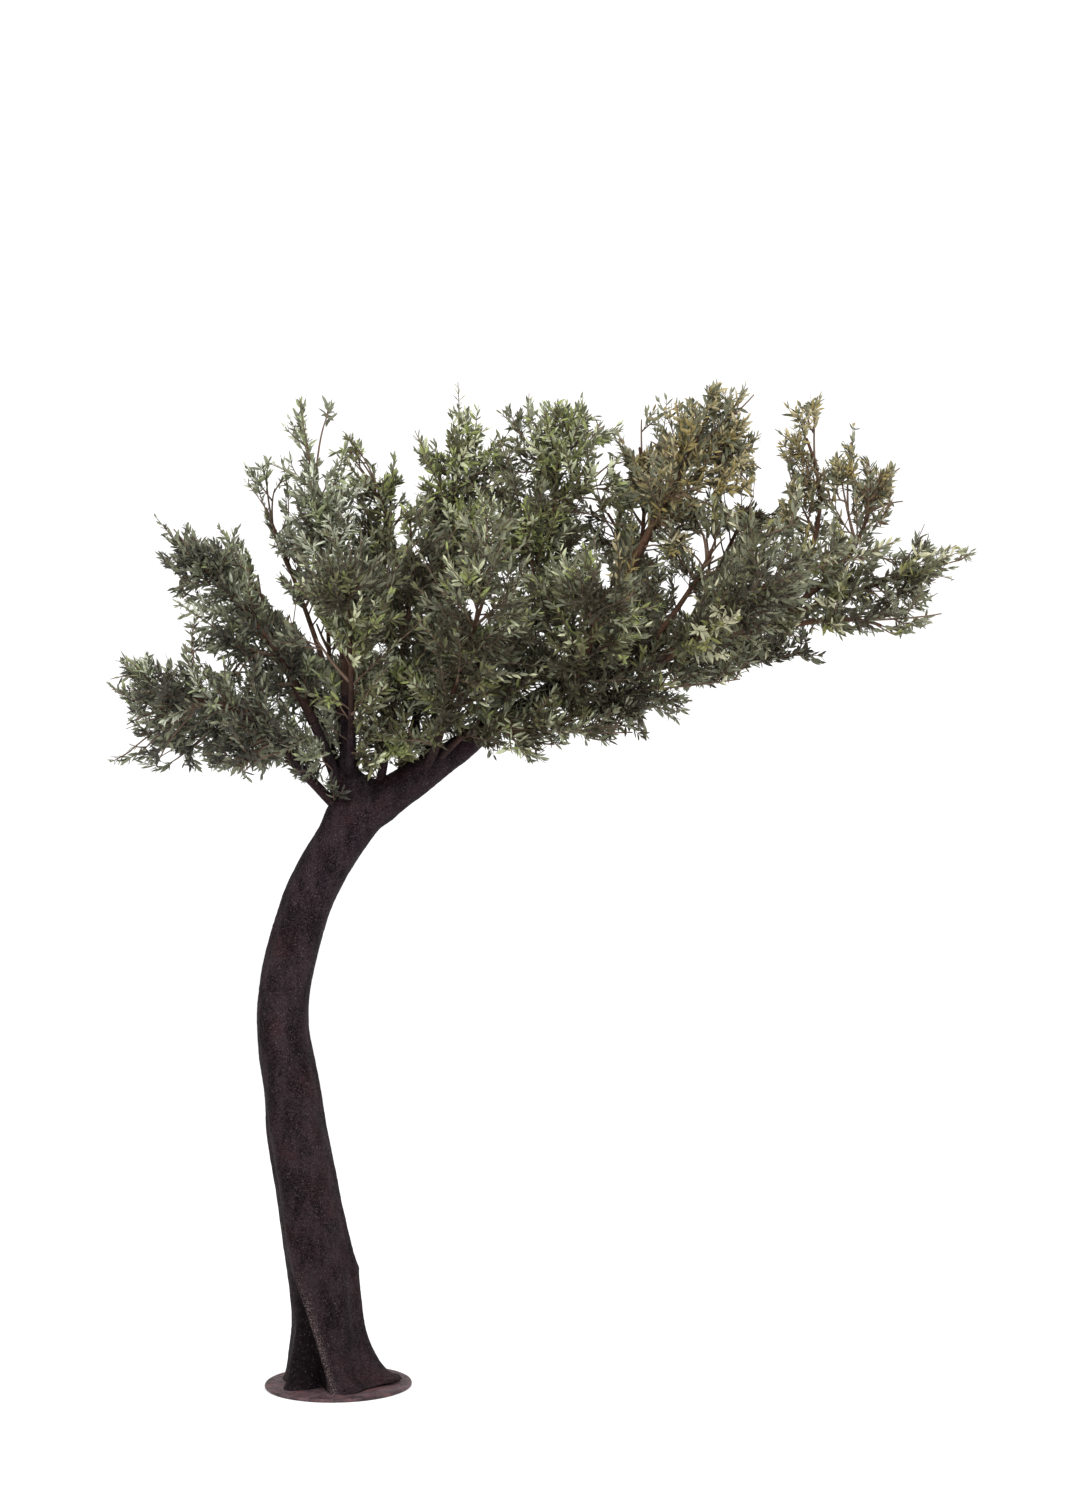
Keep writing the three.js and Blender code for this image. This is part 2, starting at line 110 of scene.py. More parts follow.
SPRAY_WIDEST, SPRAY_ANGLE, ANGLE_RANGE, SPRAY_LAST = 0.42, 0.75, (0.8, 1.2), 0.98
SPRAY_SPACE = 50
SPRAY_MIDDLES = np.array((0.4, 0.7, 1))
SPRAY_CHECKS = np.array((0.12, 0.27, 0.42, 0.6, 0.8, 1))
PAIR_STEP, PAIR_LAST, PAIR_TURN = 65, 0.95, 0.8

# Sprays of the source, and those set in between that it leaves out: step along the line, sizes,
# room between them, and how far they may come out of their space and towards the next one
SOURCE_RULE = (PAIR_STEP, SPRAY_SIZES, SPRAY_SPACE, SPACE_SKIN, SPACE_MARGIN)
FILL_RULE = (48, (0.8, 0.62, 0.48), 34, 1.1, -0.05)

# Shoots that join the spaces, by the line they grow on: step along it, sizes, room and least rise
SHOOTS = {
    "runner": (30, (0.62, 0.45), 24, -0.6),
    "mass": (36, (0.9, 0.7, 0.5), 34, -0.35),
    "bough": (36, (0.9, 0.7, 0.5), 34, -0.35),
}
SHOOT_SKIN, SHOOT_ANGLE, SHOOT_LIFT, SHOOT_LAST, LIMB_ROOM = 1.9, 0.9, 0.25, 0.97, 6
RUNNER_RADIUS, RUNNER_END, RUNNER_FIRST, RUNNER_BACK = 3.5, 2, 0.15, 8
RUNNER_SHARES = np.linspace(0.1, 0.95, 18)

# Boughs are bare over this share of their length, and up to this x their shoots rise at least so much
BARE_SHARE, BARE_BELOW, BARE_RISE = 0.12, 500, 0.2

# Every line has a number of its own and room for so many draws, and so keeps them when others change
LINE_DRAWS, BOUGH_NUMBERS, RUNNER_NUMBERS = 40, 1500, 2000
ANGLE_DRAW, ROLL_DRAW, LENGTH_DRAW = 71, 72, 73

# Fine twigs in pairs along the leader of each spray: share along it, angle, length and roll
TWIGLETS = ((0.12, 0.72, 0.5, 0.2), (0.3, 0.64, 0.42, 1.7), (0.5, 0.55, 0.3, 0.7))
LEADER_RADII, TWIGLET_RADII = (2.8, 1.1), (1.7, 0.9)
THINNED, THINNED_MORE = -0.28, 0.32
SEEN_STARTS = (("left_low", 0.972), ("left_low_rear", 0.975))
LOWEST_END, HIGHEST_END = np.array((-675, -560, 300)), np.array((1880, 585, 2998))

# Where the sky shows through the crown and at its edge, seen from the front, from left to right: each
# gap runs between two places, x and z on the plane y = 0, with its half width
SKY = np.array([
    (-750, 2080, -735, 1960, 42), (-745, 2245, -625, 2215, 51), (-735, 2195, -682, 2168, 20),
    (-730, 1862, -702, 1830, 20), (-715, 1955, -690, 1925, 30), (-700, 2150, -685, 2120, 22),
    (-695, 1815, -640, 1800, 22), (-660, 1990, -645, 1905, 22), (-650, 1907, -588, 1899, 16),
    (-620, 1792, -440, 1772, 33), (-612, 2642, -572, 2625, 20), (-590, 2405, -505, 2210, 34),
    (-590, 2575, -580, 2495, 36), (-585, 2690, -510, 2670, 60), (-575, 2450, -555, 2430, 18),
    (-565, 2360, -535, 2270, 27), (-530, 1862, -490, 1850, 18), (-530, 2410, -505, 2385, 16),
    (-530, 2600, -505, 2575, 16), (-525, 2495, -515, 2480, 9), (-520, 2188, -500, 2155, 16),
    (-485, 1808, -450, 1800, 20), (-460, 2595, -415, 2580, 27), (-442, 2562, -410, 2532, 20),
    (-430, 1800, -350, 1795, 22), (-412, 2162, -372, 2122, 12), (-300, 2815, -255, 2760, 20),
    (-285, 2635, -245, 2450, 39), (-265, 2965, -200, 2905, 34), (-255, 2360, -240, 2350, 10),
    (-245, 2450, -190, 2330, 33), (-240, 1750, -90, 1755, 33), (-230, 2785, -175, 2815, 21),
    (-215, 2470, -192, 2425, 22), (-215, 2645, -195, 2560, 22), (-205, 2730, -192, 2710, 11),
    (-200, 1690, -60, 1700, 42), (-190, 2330, -110, 2255, 27), (-165, 2405, -150, 2390, 10),
    (-165, 2450, -140, 2430, 12), (-165, 2640, -150, 2600, 12), (-140, 3005, 25, 2990, 57),
    (-130, 2780, -145, 2725, 15), (-110, 2255, -50, 2180, 26), (-110, 2320, -90, 2295, 12),
    (-100, 2945, -95, 2840, 18), (-82, 2278, -64, 2252, 12), (-75, 2775, -55, 2755, 12),
    (-72, 2880, -62, 2820, 18), (-70, 2178, -45, 2165, 14), (-70, 2680, -55, 2665, 10),
    (-68, 2240, -35, 2205, 14), (-50, 1840, -50, 1815, 15), (-30, 2840, -15, 2800, 15),
    (-30, 2865, -10, 2850, 16), (-25, 2180, -5, 2160, 10), (5, 2940, 15, 2855, 27),
    (20, 2635, 35, 2620, 11), (55, 2855, 175, 2820, 39), (58, 2830, 85, 2800, 24),
    (60, 2730, 80, 2715, 11), (75, 2770, 90, 2755, 12), (115, 2765, 115, 2725, 11),
    (125, 2725, 108, 2710, 13), (130, 1825, 135, 1800, 15), (165, 2665, 170, 2495, 10),
    (185, 2700, 215, 2620, 10), (190, 2740, 205, 2665, 22), (205, 2495, 218, 2485, 9),
    (205, 2985, 205, 2845, 26), (215, 2770, 215, 2690, 12), (250, 2455, 250, 2445, 12),
    (300, 2900, 296, 2790, 15), (340, 2315, 352, 2305, 9), (340, 3010, 365, 2995, 14),
    (385, 2315, 425, 2265, 18), (420, 2930, 445, 2882, 22), (485, 1850, 530, 1840, 24),
    (487, 2872, 480, 2842, 14), (490, 1810, 670, 1800, 39), (490, 2955, 565, 2985, 24),
    (630, 1865, 700, 1870, 21), (630, 2962, 695, 2955, 22), (650, 2990, 720, 2988, 24),
    (700, 1905, 715, 1888, 20), (700, 2630, 712, 2620, 10), (745, 1900, 765, 1890, 12),
    (745, 2640, 760, 2610, 14), (745, 2975, 765, 2915, 24), (785, 2750, 777, 2660, 18),
    (790, 2430, 795, 2375, 13), (800, 3005, 815, 2895, 42), (810, 2600, 805, 2525, 12),
    (830, 2730, 850, 2710, 14), (838, 1905, 850, 1895, 18), (880, 2925, 868, 2812, 25),
    (895, 2595, 940, 2465, 18), (905, 2850, 890, 2790, 20), (928, 1970, 965, 1865, 28),
    (970, 2865, 990, 2845, 10), (985, 3015, 1005, 3005, 18), (1010, 2965, 1035, 2950, 16),
    (1030, 2378, 1042, 2315, 26), (1035, 3015, 1075, 2965, 27), (1060, 2045, 1170, 2050, 24),
    (1065, 2455, 1080, 2440, 12), (1075, 2005, 1165, 2020, 36), (1080, 2510, 1105, 2440, 28),
    (1100, 3004, 1130, 2998, 14), (1105, 2500, 1130, 2480, 24), (1110, 2450, 1125, 2440, 12),
    (1115, 2475, 1170, 2520, 22), (1130, 3025, 1200, 3012, 24), (1150, 2640, 1175, 2610, 12),
    (1190, 2640, 1225, 2620, 14), (1200, 2905, 1215, 2890, 11), (1225, 2045, 1345, 2060, 60),
    (1235, 3015, 1250, 2860, 18), (1250, 2110, 1375, 2125, 24), (1278, 2785, 1280, 2620, 34),
    (1285, 2945, 1285, 2830, 27), (1305, 3025, 1365, 3010, 39), (1330, 2740, 1335, 2690, 18),
    (1372, 2975, 1398, 2945, 20), (1375, 2590, 1395, 2570, 10), (1380, 3000, 1490, 2975, 30),
    (1385, 3035, 1510, 3030, 36), (1425, 2820, 1440, 2790, 16), (1442, 2785, 1448, 2745, 16),
    (1445, 2210, 1490, 2165, 27), (1455, 2895, 1455, 2780, 16), (1465, 2225, 1490, 2212, 14),
    (1475, 2830, 1490, 2795, 18), (1505, 2925, 1515, 2830, 21), (1515, 2635, 1530, 2540, 18),
    (1525, 2185, 1700, 2185, 39), (1570, 2795, 1640, 2760, 27), (1580, 2830, 1585, 2815, 33),
    (1600, 2360, 1620, 2350, 13), (1605, 2418, 1630, 2405, 9), (1610, 2262, 1640, 2255, 15),
    (1610, 2545, 1605, 2520, 6), (1650, 2270, 1665, 2260, 10), (1685, 2640, 1668, 2560, 24),
    (1685, 2785, 1705, 2595, 27), (1690, 2500, 1710, 2480, 14), (1695, 2605, 1715, 2520, 15),
    (1695, 2695, 1855, 2645, 36), (1700, 2865, 1660, 2805, 24), (1735, 2225, 1760, 2210, 16),
    (1740, 2450, 1750, 2440, 9), (1755, 2590, 1745, 2560, 20), (1800, 2375, 1792, 2295, 26),
    (1835, 2630, 1880, 2530, 36), (1840, 2512, 1905, 2505, 19), (1850, 2535, 1795, 2510, 24),
    (1855, 2590, 1870, 2520, 21), (1890, 2375, 1835, 2205, 51),
], float)

# Where a bough or stem shows from the front: the same five, and the depth y before which nothing grows
BARE = np.array([
    (24, 1780, 8, 2140, 22, -10), (0, 1850, -85, 1960, 20, -35), (-85, 1960, -180, 2090, 14, -45),
    (-180, 2090, -255, 2200, 9, -55), (60, 1760, 150, 1790, 22, -30), (150, 1785, 300, 1850, 24, -40),
], float)

# Where the camera stands, its turn about X in degrees and its lens; the floor's radius in millimetres and
# the place in metres that the lights point at
EYE, EYE_TURN, EYE_LENS = np.array((594.6, -6400.0, 1500.0)), 93.211, 50.88
FLOOR_RADIUS, LIT_PLACE = 40000, (0.5, 0, 1.8)

# Twigs that run out of a mass to a place that the shoots would leave bare: the mass, the place, and for
# some the place near which they start. New ones go at the end, since a twig's number sets its draws
RUNNERS = [
    ("centre", (75, -110, 1885)), ("centre", (95, -100, 1835)), ("centre", (190, -120, 1855)),
    ("front_left", (85, -170, 1835)), ("upright", (30, -130, 1900)), ("left_high", (-95, -120, 1890)),
    ("left_high", (-50, -130, 1835)), ("front_centre", (215, -170, 1895)),
    ("centre_high", (480, 40, 2745)), ("low_centre", (690, -130, 1975)),
    ("low_centre", (770, -110, 1985)), ("low_right", (830, -90, 1985)),
    ("low_right", (1010, -70, 2085)), ("low_centre", (560, -140, 1885)),
    ("left_high", (-300, -110, 2085)), ("left_low", (-330, -90, 1840)),
    ("crown_right", (1205, -20, 2790)), ("upright_right", (40, 100, 2800)),
    ("left_high", (-495, -90, 2530)), ("crown_centre", (812, 0, 2560)),
    ("right_middle", (1010, -80, 2430)), ("upright", (-130, -50, 2330)),
    ("right_low", (1400, 130, 2190)), ("right_front_low", (1775, -150, 2270)),
    ("spike", (1442, 50, 2960)), ("crown_centre", (790, 10, 2860)), ("crown_right", (1240, -20, 2950)),
    ("upright", (-45, -20, 2890)), ("upright_rear", (-225, 150, 2695)),
    ("centre_high", (305, 60, 2765)), ("centre_high", (470, 30, 2665)),
    ("crown_centre", (845, 0, 2770)), ("crown_right_rear", (880, 150, 2725)),
    ("crown_right", (1185, -20, 2745)), ("crown_right", (1150, -60, 2690)),
    ("right_high", (1495, 40, 2640)), ("spike", (1465, 60, 2705)), ("right_arm", (1740, 0, 2510)),
    ("right_high", (1540, 60, 2770)), ("right_arm", (1605, -60, 2330)),
    ("crown_right", (950, -60, 2485)), ("low_right", (1000, -90, 2020)),
    ("right_high", (1690, 50, 2740)), ("right_high", (1700, 60, 2640)),
    ("crown_right", (1230, -40, 2820)), ("crown_centre", (700, -20, 2890)),
    ("upright_right", (60, 120, 2700)), ("centre_high", (248, 50, 2785), (318, 50, 2600)),
    ("upright", (-130, -20, 2850)), ("upright_right", (15, 110, 2785)),
    ("centre_high", (430, 50, 2605)), ("crown_right", (1115, -20, 2945)),
    ("crown_right", (1215, -30, 2720)), ("right_middle", (1075, -90, 2525)),
    ("right_middle", (1145, -90, 2505)), ("spike", (1315, -10, 2590)),
    ("right_middle", (1350, -110, 2540)), ("right_arm", (1650, -30, 2310)),
    ("right_middle", (1060, -120, 2320)), ("left_high", (-275, -60, 2420)),
    ("low_centre", (635, -140, 1885)), ("low_centre", (895, -130, 1945)),
    ("left_low", (-620, -130, 1945)), ("right_arm", (1860, 0, 2450)),
    ("crown_right", (1225, -20, 2680)), ("crown_right", (1205, -40, 2640)),
    ("crown_right", (1260, -20, 2725)), ("crown_right", (1150, -30, 2660)),
    ("crown_right", (1105, -40, 2610)), ("right_middle", (1068, -60, 2545)),
    ("crown_centre", (560, -60, 2140)), ("front_centre", (600, -150, 2180)),
    ("front_right", (640, -120, 2100)), ("front_centre", (500, -140, 2070)),
    ("right_high", (1520, 0, 2535)), ("right_arm", (1650, -20, 2330)), ("right_high", (1600, 20, 2450)),
    ("right_front", (1560, -80, 2440)), ("centre_high", (480, 40, 2810)),
    ("crown_centre", (570, 0, 2720)), ("crown_centre", (790, 0, 2680)),
    ("centre_high", (395, 50, 2855)), ("left_high", (-475, -90, 2350)),
    ("left_low", (-640, -130, 2035)), ("left_low", (-520, -130, 1850)),
    ("left_high", (-335, -60, 2085)), ("crown_right", (1020, -40, 2500)),
    ("right_middle", (1032, -60, 2470)), ("centre_high", (438, 20, 2580)),
    ("crown_centre", (802, -10, 2665)), ("crown_centre", (795, -10, 2620)),
    ("right_high", (1530, 10, 2600)), ("left_high", (-470, -90, 2440)), ("spike", (1342, 30, 2755)),
    ("right_arm", (1665, -20, 2300)), ("centre_high", (262, 60, 2640)),
    ("low_centre", (865, -150, 1920)), ("left_low", (-435, -100, 2195)),
    ("left_low", (-600, -130, 2090)), ("left_low", (-275, -100, 1825)),
    ("crown_right_rear", (910, 170, 2915)), ("crown_right", (1190, -40, 2690), (1150, -30, 2760)),
    ("crown_centre", (755, 0, 2850)), ("crown_centre", (525, 20, 2850)),
    ("front_centre", (580, -150, 2095)), ("front_right", (570, -120, 2070)),
    ("left_low", (-290, -90, 1815)), ("centre", (205, -120, 2575)), ("left_high", (-245, -100, 2040)),
    ("upright_right", (25, 110, 2765)), ("right_rear", (1150, 120, 2570)),
    ("right_rear", (1120, 100, 2470)), ("right_rear", (1170, 60, 2440)),
    ("left_low", (-300, -140, 1832)), ("left_low", (-272, -150, 1805)),
    ("upright_right", (12, 110, 2812), (40, 110, 2650)), ("left_low", (-572, -130, 1868)),
    ("low_right", (890, -90, 1962)), ("left_high", (-460, -130, 2370)),
    ("crown_centre", (748, -40, 2885), (700, 0, 2800)), ("right_middle", (985, -80, 2450)),
    ("front_centre", (560, -170, 2060)), ("left_low", (-300, -60, 1808), (-200, -90, 1880)),
    ("centre_high", (480, 20, 2450)), ("front_centre", (440, -300, 2480)),
    ("left_low", (-612, -130, 1864), (-520, -130, 1880)), ("left_high", (-440, -60, 2390)),
    ("left_high", (-475, -40, 2330)), ("right_high", (1650, 20, 2450)),
    ("low_right", (1190, -60, 2085)), ("upright_rear", (-250, 150, 2740)),
]

UP = np.array((0.0, 0.0, 1.0))
ACROSS = np.array((0.0, 1.0, 0.0))
SCATTER = 43758.5453
ROUND = 6.28

# Where the foliage of a mass belongs, by the x and the height of its tip
SIDES = (("left", 0, 0), ("middle", 900, 0), ("top", math.inf, 2700), ("right", math.inf, 0))

# The two sections of a leaf: their shares along it and half widths, how far its rib stands up, and its bend
LEAF_SHARES, LEAF_HALVES, LEAF_RIB, LEAF_CURL = (0.27, 0.64), (0.45, 0.44), 0.16, 0.1
PIECE_LEAVES = 16000

# Leaf tones of each side of the crown, as they show: deep is a darker copy of the mid tone, painted
# shade, and fresh and pale are lighter ones, painted light as well as leaf colour; leaf_tones deals them
# out partly at random and partly by where light falls
TONES = ("deep", "mid", "fresh", "pale")
LEAF_TONES = {
    "left": ((57, 56, 48), (105, 108, 88), (136, 144, 106), (184, 188, 168)),
    "middle": ((54, 49, 34), (94, 94, 62), (130, 138, 82), (178, 182, 148)),
    "top": ((86, 70, 48), (122, 113, 76), (138, 124, 76), (164, 153, 118)),
    "right": ((51, 46, 33), (80, 80, 54), (124, 124, 76), (172, 170, 140)),
}


def mix(low, high, share):
    return low + (high - low) * share


def draw(seed, count):
    """Steady draw between 0 and 1: the fraction of sin(12.9898 seed + 78.233 count) times 43758.5453."""
    wave = math.sin(seed * 12.9898 + count * 78.233) * SCATTER
    return wave - math.floor(wave)


def dealt(places, number, low=0.0, high=1.0):
    """A steady draw for each place: the fraction of sin(0.53 x + 0.71 y + 0.37 z + 2.3 number) times
    43758.5453, stretched between low and high."""
    wave = np.sin(places @ np.array((0.53, 0.71, 0.37)) + 2.3 * number) * SCATTER
    return low + (high - low) * (wave - np.floor(wave))


def spread_about(places, number, size):
    """Steady draws about 0 for each place, the sum of three even ones, with size as their spread."""
    return size * sum(dealt(places, number + part, -1, 1) for part in (0.31, 0.57, 0.83))


def unit(vectors):
    return vectors / np.linalg.norm(vectors, axis=-1, keepdims=True)


def square_to(along):
    """Two directions square to a line: Y crossed with it, or Z where it runs along Y, and that crossed
    with the line."""
    reference = np.where(np.abs(along[..., 1:2]) > 0.9, UP, ACROSS)
    first = unit(np.cross(reference, along))
    return first, np.cross(first, along)


def out_from(along, turn):
    """The direction square to a line at a turn round it: first cos(turn) + second sin(turn)."""
    first, second = square_to(along)
    turn = np.asarray(turn)[..., None]
    return first * np.cos(turn) + second * np.sin(turn)


def leaving(along, out, angle):
    """The direction that leaves a line at an angle: along cos(angle) + out sin(angle)."""
    angle = np.asarray(angle)[..., None]
    return along * np.cos(angle) + out * np.sin(angle)


class Line:
    """A curved line with a radius along it, both by the share from 0 to 1."""

    def along(self, share):
        share = np.asarray(share, float)
        return unit(self.at(np.minimum(share + 1e-4, 1)) - self.at(np.maximum(share - 1e-4, 0)))

    def length(self):
        return float(np.linalg.norm(np.diff(self.at(np.linspace(0, 1, 201)), axis=0), axis=1).sum())


class Bend(Line):
    """A limb on a quadratic curve: start (1-s)^2 + 2 middle s (1-s) + end s^2."""

    def __init__(self, start, middle, end, radius, first=0.0):
        self.places = np.array((start, middle, end), float)
        self.radius = radius
        self.first = first

    def at(self, share):
        share = np.asarray(share, float)[..., None]
        start, middle, end = self.places
        return start * (1 - share) ** 2 + 2 * middle * share * (1 - share) + end * share ** 2


class TrunkLine(Line):
    """The trunk's spline: a uniform Catmull-Rom curve through lean, radius and height together."""

    def station(self, share):
        stations = TRUNK_STATIONS
        knots = np.vstack((2 * stations[:1] - stations[1:2], stations, 2 * stations[-1:] - stations[-2:-1]))
        place = np.asarray(share, float) * (len(stations) - 1)
        piece = np.clip(np.floor(place).astype(int), 0, len(stations) - 2)
        part = (place - piece)[..., None]
        before, start, end, after = (knots[piece + step] for step in range(4))
        out, into = (end - before) / 2, (after - start) / 2
        return (start + out * part + (3 * (end - start) - 2 * out - into) * part ** 2
                + (2 * (start - end) + out + into) * part ** 3)

    def at(self, share):
        height, lean, _ = np.moveaxis(self.station(share), -1, 0)
        return np.stack((lean, np.zeros_like(lean), height), -1)

    def radius(self, share, angle=0.0):
        """The station's radius, with ribs that fade with height and turn as they rise."""
        height, _, radius = np.moveaxis(self.station(share), -1, 0)
        foot = np.exp(-np.maximum(height, 0) / RIB_HEIGHT)
        turn = RIB_PHASE + RIB_TURN * height / RIB_HEIGHT
        rib = np.cos(RIB_COUNT * angle + turn) + 0.5 * np.cos(2 * angle - turn)
        return radius * (1 + (RIB_TRUNK + RIB_FOOT * foot) * rib)


def capsules(line, steps):
    """Short straight pieces of a line, each with the larger radius of its two ends."""
    shares = np.linspace(0, 1, steps + 1)
    places, radii = line.at(shares), line.radius(shares)
    return places[:-1], places[1:], np.maximum(radii[:-1], radii[1:])


def together(several):
    return tuple(np.concatenate(parts) for parts in zip(*several))


def clear_of(pieces, points, margin):
    """True where the nearest point of every piece is further away than its radius and the margin."""
    start, end, radius = pieces
    run = end - start
    offset = points[:, None] - start
    share = np.clip((offset * run).sum(-1) / (run * run).sum(-1), 0, 1)
    gap = np.linalg.norm(offset - share[..., None] * run, axis=-1)
    return bool((gap > radius + margin).all())


def bough_radius(foot, end):
    return lambda share: end + (foot - end) * (1 - np.asarray(share, float)) ** BOUGH_TAPER


def tapering(foot, end):
    return lambda share: mix(foot, end, np.asarray(share, float))


@lru_cache(maxsize=None)
def limb_lines():
    """The trunk's line and each bough's: a bough bends from its place on its parent to its end, with its
    middle sagging."""
    lines = {"trunk": TrunkLine()}
    for name, parent, share, end, sag, foot_radius, end_radius, *_ in LIMBS:
        start = lines[parent].at(share)
        end = np.array(end, float)
        middle = (start + end) / 2 - UP * sag
        lines[name] = Bend(start, middle, end, bough_radius(foot_radius, end_radius))
    return lines


@lru_cache(maxsize=None)
def seen_lines():
    """The same lines, with the two lowest boughs on the left leaving the fork higher up and flatter, as the
    photograph shows them; they end where the others do."""
    lines = dict(limb_lines())
    for name, share in SEEN_STARTS:
        start, end = lines["trunk"].at(share), lines[name].places[2]
        lines[name] = Bend(start, (start + end) / 2 - UP * 8, end, lines[name].radius)
    return lines


class Mass:
    """One mass of foliage: its space round the line from its bough's end to its tip, and its stem."""

    def __init__(self, name, bough, end_radius, top, spread, seed):
        self.name, self.seed, self.spread, self.top = name, seed, spread, np.array(top, float)
        direction = bough.along(1)
        self.foot = bough.at(1) + CLEAR * direction
        reach = self.top - self.foot
        self.length = float(np.linalg.norm(reach))
        self.axis = reach / self.length
        end = self.top - self.axis * STEM_SHORT * SPRAY_LENGTH
        turn = self.foot + direction * STEM_RUN_ON * self.length
        self.stem = Bend(self.foot, turn, end, tapering(end_radius, STEM_END), STEM_FIRST)
        self.side = next(side for side, limit, height in SIDES
                         if self.top[0] < limit and self.top[2] > height)


class Crown:
    """All the masses, and the rule for what fits into a mass's own space."""

    def __init__(self):
        lines = limb_lines()
        self.masses = [
            Mass(name, lines[name], end_radius, top, spread, seed)
            for name, _, _, _, _, _, end_radius, top, spread, seed in LIMBS if top
        ]
        self.feet, self.axes, self.lengths, self.spreads = (
            np.array([getattr(mass, key) for mass in self.masses])
            for key in ("foot", "axis", "length", "spread"))
        stems = [capsules(mass.stem, 5) for mass in self.masses]
        self.limbs = together([capsules(lines["trunk"], 16)] + [capsules(lines[row[0]], 6) for row in LIMBS])
        self.other_stems = [together(stems[:i] + stems[i + 1:]) for i in range(len(stems))]
        self.stems = stems

    def depths(self, points):
        """How far points lie out in each space: |2 along/length - 1|^3 + across^2/spread^2, 1 on the skin."""
        offset = points[:, None] - self.feet
        along = (offset * self.axes).sum(-1)
        across = np.maximum((offset * offset).sum(-1) - along ** 2, 0)
        return np.abs(2 * along / self.lengths - 1) ** SPACE_POWER + across / self.spreads ** 2

    def fits(self, index, points, skin=SPACE_SKIN, margin=SPACE_MARGIN):
        """True where every point is in the mass's own space and touches no limb and no other stem."""
        points = np.atleast_2d(points)
        depth = self.depths(points)
        own = depth[:, index]
        return (bool((own < skin).all())
                and bool((np.delete(depth, index, 1) >= own[:, None] + margin).all())
                and clear_of(self.limbs, points, LIMB_MARGIN)
                and clear_of(self.other_stems[index], points, LIMB_MARGIN))

    def reach(self, index, root, direction):
        """How far a line runs from its root, in steps, before it leaves the mass's space."""
        length = self.lengths[index]
        steps = np.arange(0, length + REACH_STEP, REACH_STEP)
        outside = self.depths(root + direction * steps[:, None])[:, index] >= 1
        outside |= steps >= length
        return float(steps[np.argmax(outside)])


def blade_edges(root, direction, side, length, width):
    """Points on both edges of a spray, at the shares where the source looks at it."""
    half = width / 2 * np.minimum(SPRAY_CHECKS / SPRAY_WIDEST, (1 - SPRAY_CHECKS) / (1 - SPRAY_WIDEST))
    middle = root + direction * (SPRAY_CHECKS * length)[:, None]
    across = side * half[:, None]
    return np.concatenate((middle - across, middle + across))


def far_from(middles, points, space):
    if not middles:
        return True
    gaps = np.linalg.norm(np.array(middles)[:, None] - points, axis=-1)
    return bool((gaps > space).all())


class Growth:
    """The lines and sprays of one mass, grown by the source's rule and then filled in between."""

    def __init__(self, crown, index):
        self.crown, self.index, self.mass = crown, index, crown.masses[index]
        self.count = 0
        self.middles, self.sprays = [], []
        stem = self.mass.stem
        stem.pieces = crown.stems[index]
        self.lines = [stem] + self.twigs(stem)
        for round_number, rule in enumerate((SOURCE_RULE, FILL_RULE)):
            for line in self.lines:
                self.pairs(line, round_number, *rule)

    def next(self):
        self.count += 1
        return draw(self.mass.seed, self.count)

    def twigs(self, stem):
        """Twigs round the golden angle, at a wide angle at the foot and a narrow one at the tip, each a spray
        short of the skin."""
        twigs = []
        count = int(math.floor(stem.length() / TWIG_STEP + 0.5))
        for i in range(count):
            share = mix(*TWIG_SHARES, (i + 0.5) / count)
            root, along = stem.at(share), stem.along(share)
            angle = mix(*TWIG_ANGLES, share)
            direction = leaving(along, out_from(along, self.mass.seed + i * GOLDEN_ANGLE), angle)
            room = self.crown.reach(self.index, root, direction) * mix(*TWIG_REACHES, self.next())
            length = max(TWIG_SHORTEST, room - TWIG_SHORT * SPRAY_LENGTH)
            end = root + direction * length + UP * (TWIG_RISE * length * math.sin(angle))
            middle = root + direction * 0.5 * length
            twig = Bend(root, middle, end, tapering(TWIG_RADIUS, TWIG_END), TWIG_FIRST)
            if self.crown.fits(self.index, twig.at(np.array(TWIG_CHECKS))):
                twig.pieces = capsules(twig, 1)
                twigs.append(twig)
        return twigs

    def spray(self, line, share, direction, sizes, space, skin, margin):
        """A spray rolled about its own line, in the largest size that keeps clear of the mass's other lines
        and sprays."""
        root = line.at(share)
        side = out_from(direction, math.pi * self.next())
        length = SPRAY_LENGTH * mix(*SPRAY_RANGE, self.next())
        width = SPRAY_WIDTH * mix(*SPRAY_RANGE, self.next())
        others = [other.pieces for other in self.lines if other is not line]
        for size in sizes:
            middles = root + direction * (SPRAY_MIDDLES * size * length)[:, None]
            edges = blade_edges(root, direction, side, size * length, size * width)
            if (far_from(self.middles, middles, space)
                    and (not others or clear_of(together(others), edges, 0))
                    and self.crown.fits(self.index, edges, skin, margin)):
                self.middles.extend(middles)
                self.sprays.append((root, direction, side, size * length))
                return

    def pairs(self, line, round_number, step, *room):
        """A spray at the line's end and opposite pairs along it, each pair a quarter turn on from the last,
        and each round an eighth of a turn on from the one before it."""
        self.spray(line, SPRAY_LAST, line.along(1), *room)
        count = max(1, int(math.floor(line.length() * (1 - line.first) / step + 0.5)))
        for i in range(count):
            share = mix(line.first, PAIR_LAST, (i + 0.5) / count)
            along = line.along(share)
            turn = (i % 2) * 0.5 * math.pi + PAIR_TURN * self.next() + round_number * 0.25 * math.pi
            out = out_from(along, turn)
            for way in (-1, 1):
                angle = way * SPRAY_ANGLE * mix(*ANGLE_RANGE, self.next())
                self.spray(line, share, leaving(along, out, angle), *room)


@lru_cache(maxsize=None)
def growth():
    """Every mass grown, in the source's order."""
    crown = Crown()
    return [Growth(crown, index) for index in range(len(crown.masses))]


def grown_as(name):
    return next(grown for grown in growth() if grown.mass.name == name)


def masses_on(side):
    return [index for index, grown in enumerate(growth()) if grown.mass.side == side]


